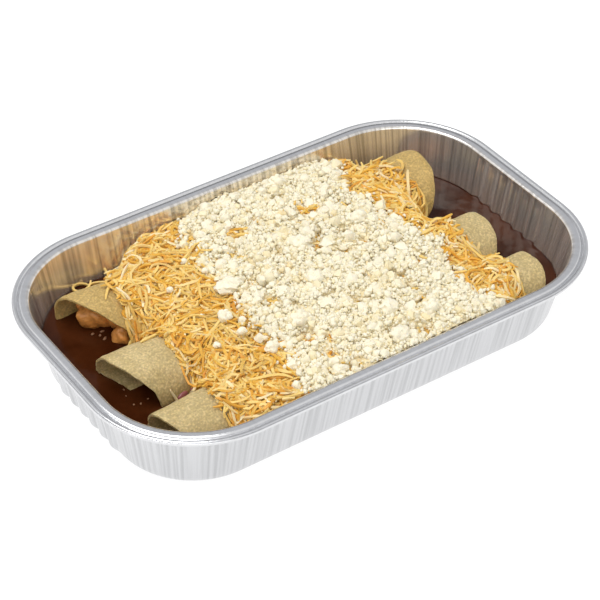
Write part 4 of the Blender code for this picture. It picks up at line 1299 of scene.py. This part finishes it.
class ENCHILADAS_OT_add_stage(bpy.types.Operator):
    """Adds a plain pale floor, soft light and the camera at the photograph's angle"""

    bl_idname = "enchiladas.add_stage"
    bl_label = "Stage"

    def floor(self):
        """A wide square that glows almost white."""
        mesh = bpy.data.meshes.new("floor")
        points = np.array([(-3, -3, 0), (3, -3, 0), (3, 3, 0), (-3, 3, 0)], float)
        fill_mesh(mesh, points, [np.array([[0, 1, 2, 3]])])
        values = {"Roughness": 0.9, "Specular_IOR_Level": 0.0, "Base_Color": (0.2, 0.2, 0.2, 1.0)}
        glow = {"Emission_Color": (1.0, 1.0, 1.0, 1.0), "Emission_Strength": 0.88}
        mesh.materials.append(new_material("pale_floor", **values, **glow)[0])
        floor = bpy.data.objects.new("floor", mesh)
        bpy.context.scene.collection.objects.link(floor)

    def light(self, name, place, size, power):
        """A square lamp that shines at the origin."""
        lamp = bpy.data.lights.new(name, "AREA")
        lamp.energy = power
        lamp.size = size
        obj = bpy.data.objects.new(name, lamp)
        obj.location = place
        obj.rotation_euler = (-Vector(place)).to_track_quat("-Z", "Y").to_euler()
        bpy.context.scene.collection.objects.link(obj)

    def sky(self, strength):
        """White light from all round, dimmed towards the far right, so that the flat rim looks grey, and dark
        at the horizon there, for the dark lines of its groove. Both follow the dot product of the direction
        and the middle of the dimmed part."""
        world = bpy.data.worlds.new("soft_sky")
        world.use_nodes = True
        tree = world.node_tree
        background = tree.nodes["Background"]
        place = add_node(tree, "ShaderNodeTexCoord").outputs["Generated"]
        colour = (1.0, 1.0, 1.0, 1.0)
        for middle, edges, dimmed in DIMMED_SKY:
            near = add_node(tree, "ShaderNodeVectorMath", {0: place, 1: middle}, operation="DOT_PRODUCT")
            dim = remapped(tree, near.outputs["Value"], edges, interpolation_type="SMOOTHSTEP")
            colour = blended(tree, dim, colour, dimmed)
        tree.links.new(colour, background.inputs["Color"])
        background.inputs["Strength"].default_value = strength
        bpy.context.scene.world = world

    def camera(self, stage):
        """The camera on a line from the target that rises by the elevation and is turned by the azimuth."""
        a, e = stage.azimuth, stage.elevation
        back = Vector((math.sin(a) * math.cos(e), -math.cos(a) * math.cos(e), math.sin(e)))
        lens = bpy.data.cameras.new("camera")
        lens.lens = stage.lens
        camera = bpy.data.objects.new("camera", lens)
        turned = (-back).to_track_quat("-Z", "Y").to_matrix().to_4x4()
        camera.matrix_world = Matrix.Translation(Vector(stage.target) + back * stage.distance) @ turned
        bpy.context.scene.collection.objects.link(camera)
        bpy.context.scene.camera = camera

    def execute(self, context):
        stage = context.scene.enchiladas_stage
        self.floor()
        self.sky(stage.sky)
        self.light("key_light", (-0.35, 0.25, 1.3), 0.9, stage.key)
        self.light("front_light", (-0.5, -1.1, 0.9), 0.8, 0.3 * stage.key)
        self.camera(stage)
        context.scene.view_settings.view_transform = "Standard"
        return {"FINISHED"}


OPERATORS = (
    ENCHILADAS_OT_add_tray,
    ENCHILADAS_OT_add_sauce,
    ENCHILADAS_OT_add_tortillas,
    ENCHILADAS_OT_add_filling,
    ENCHILADAS_OT_add_shreds,
    ENCHILADAS_OT_add_crumbs,
    ENCHILADAS_OT_add_scraps,
    ENCHILADAS_OT_add_stage,
)
SETTINGS = {
    "enchiladas_tray": TrayProperties,
    "enchiladas_sauce": SauceProperties,
    "enchiladas_tortilla": TortillaProperties,
    "enchiladas_filling": FillingProperties,
    "enchiladas_shreds": ShredsProperties,
    "enchiladas_crumbs": CrumbsProperties,
    "enchiladas_scraps": ScrapsProperties,
    "enchiladas_stage": StageProperties,
}


class ENCHILADAS_PT_pieces(bpy.types.Panel):
    bl_idname = "ENCHILADAS_PT_pieces"
    bl_label = "Enchiladas"
    bl_space_type = "VIEW_3D"
    bl_region_type = "UI"
    bl_category = "Enchiladas"

    def draw(self, context):
        for operator in OPERATORS:
            self.layout.operator(operator.bl_idname)
        for settings in SETTINGS:
            box = self.layout.box()
            group = getattr(context.scene, settings)
            for name in group.__annotations__:
                box.prop(group, name)


def register():
    for name, group in SETTINGS.items():
        bpy.utils.register_class(group)
        setattr(bpy.types.Scene, name, PointerProperty(type=group))
    for kind in (*OPERATORS, ENCHILADAS_PT_pieces):
        bpy.utils.register_class(kind)


def unregister():
    for kind in (ENCHILADAS_PT_pieces, *reversed(OPERATORS)):
        bpy.utils.unregister_class(kind)
    for name, group in SETTINGS.items():
        delattr(bpy.types.Scene, name)
        bpy.utils.unregister_class(group)


def main():
    """Runs every operator in order."""
    register()
    for operator in OPERATORS:
        getattr(bpy.ops.enchiladas, operator.bl_idname.split(".")[1])()


if __name__ == "__main__":
    main()
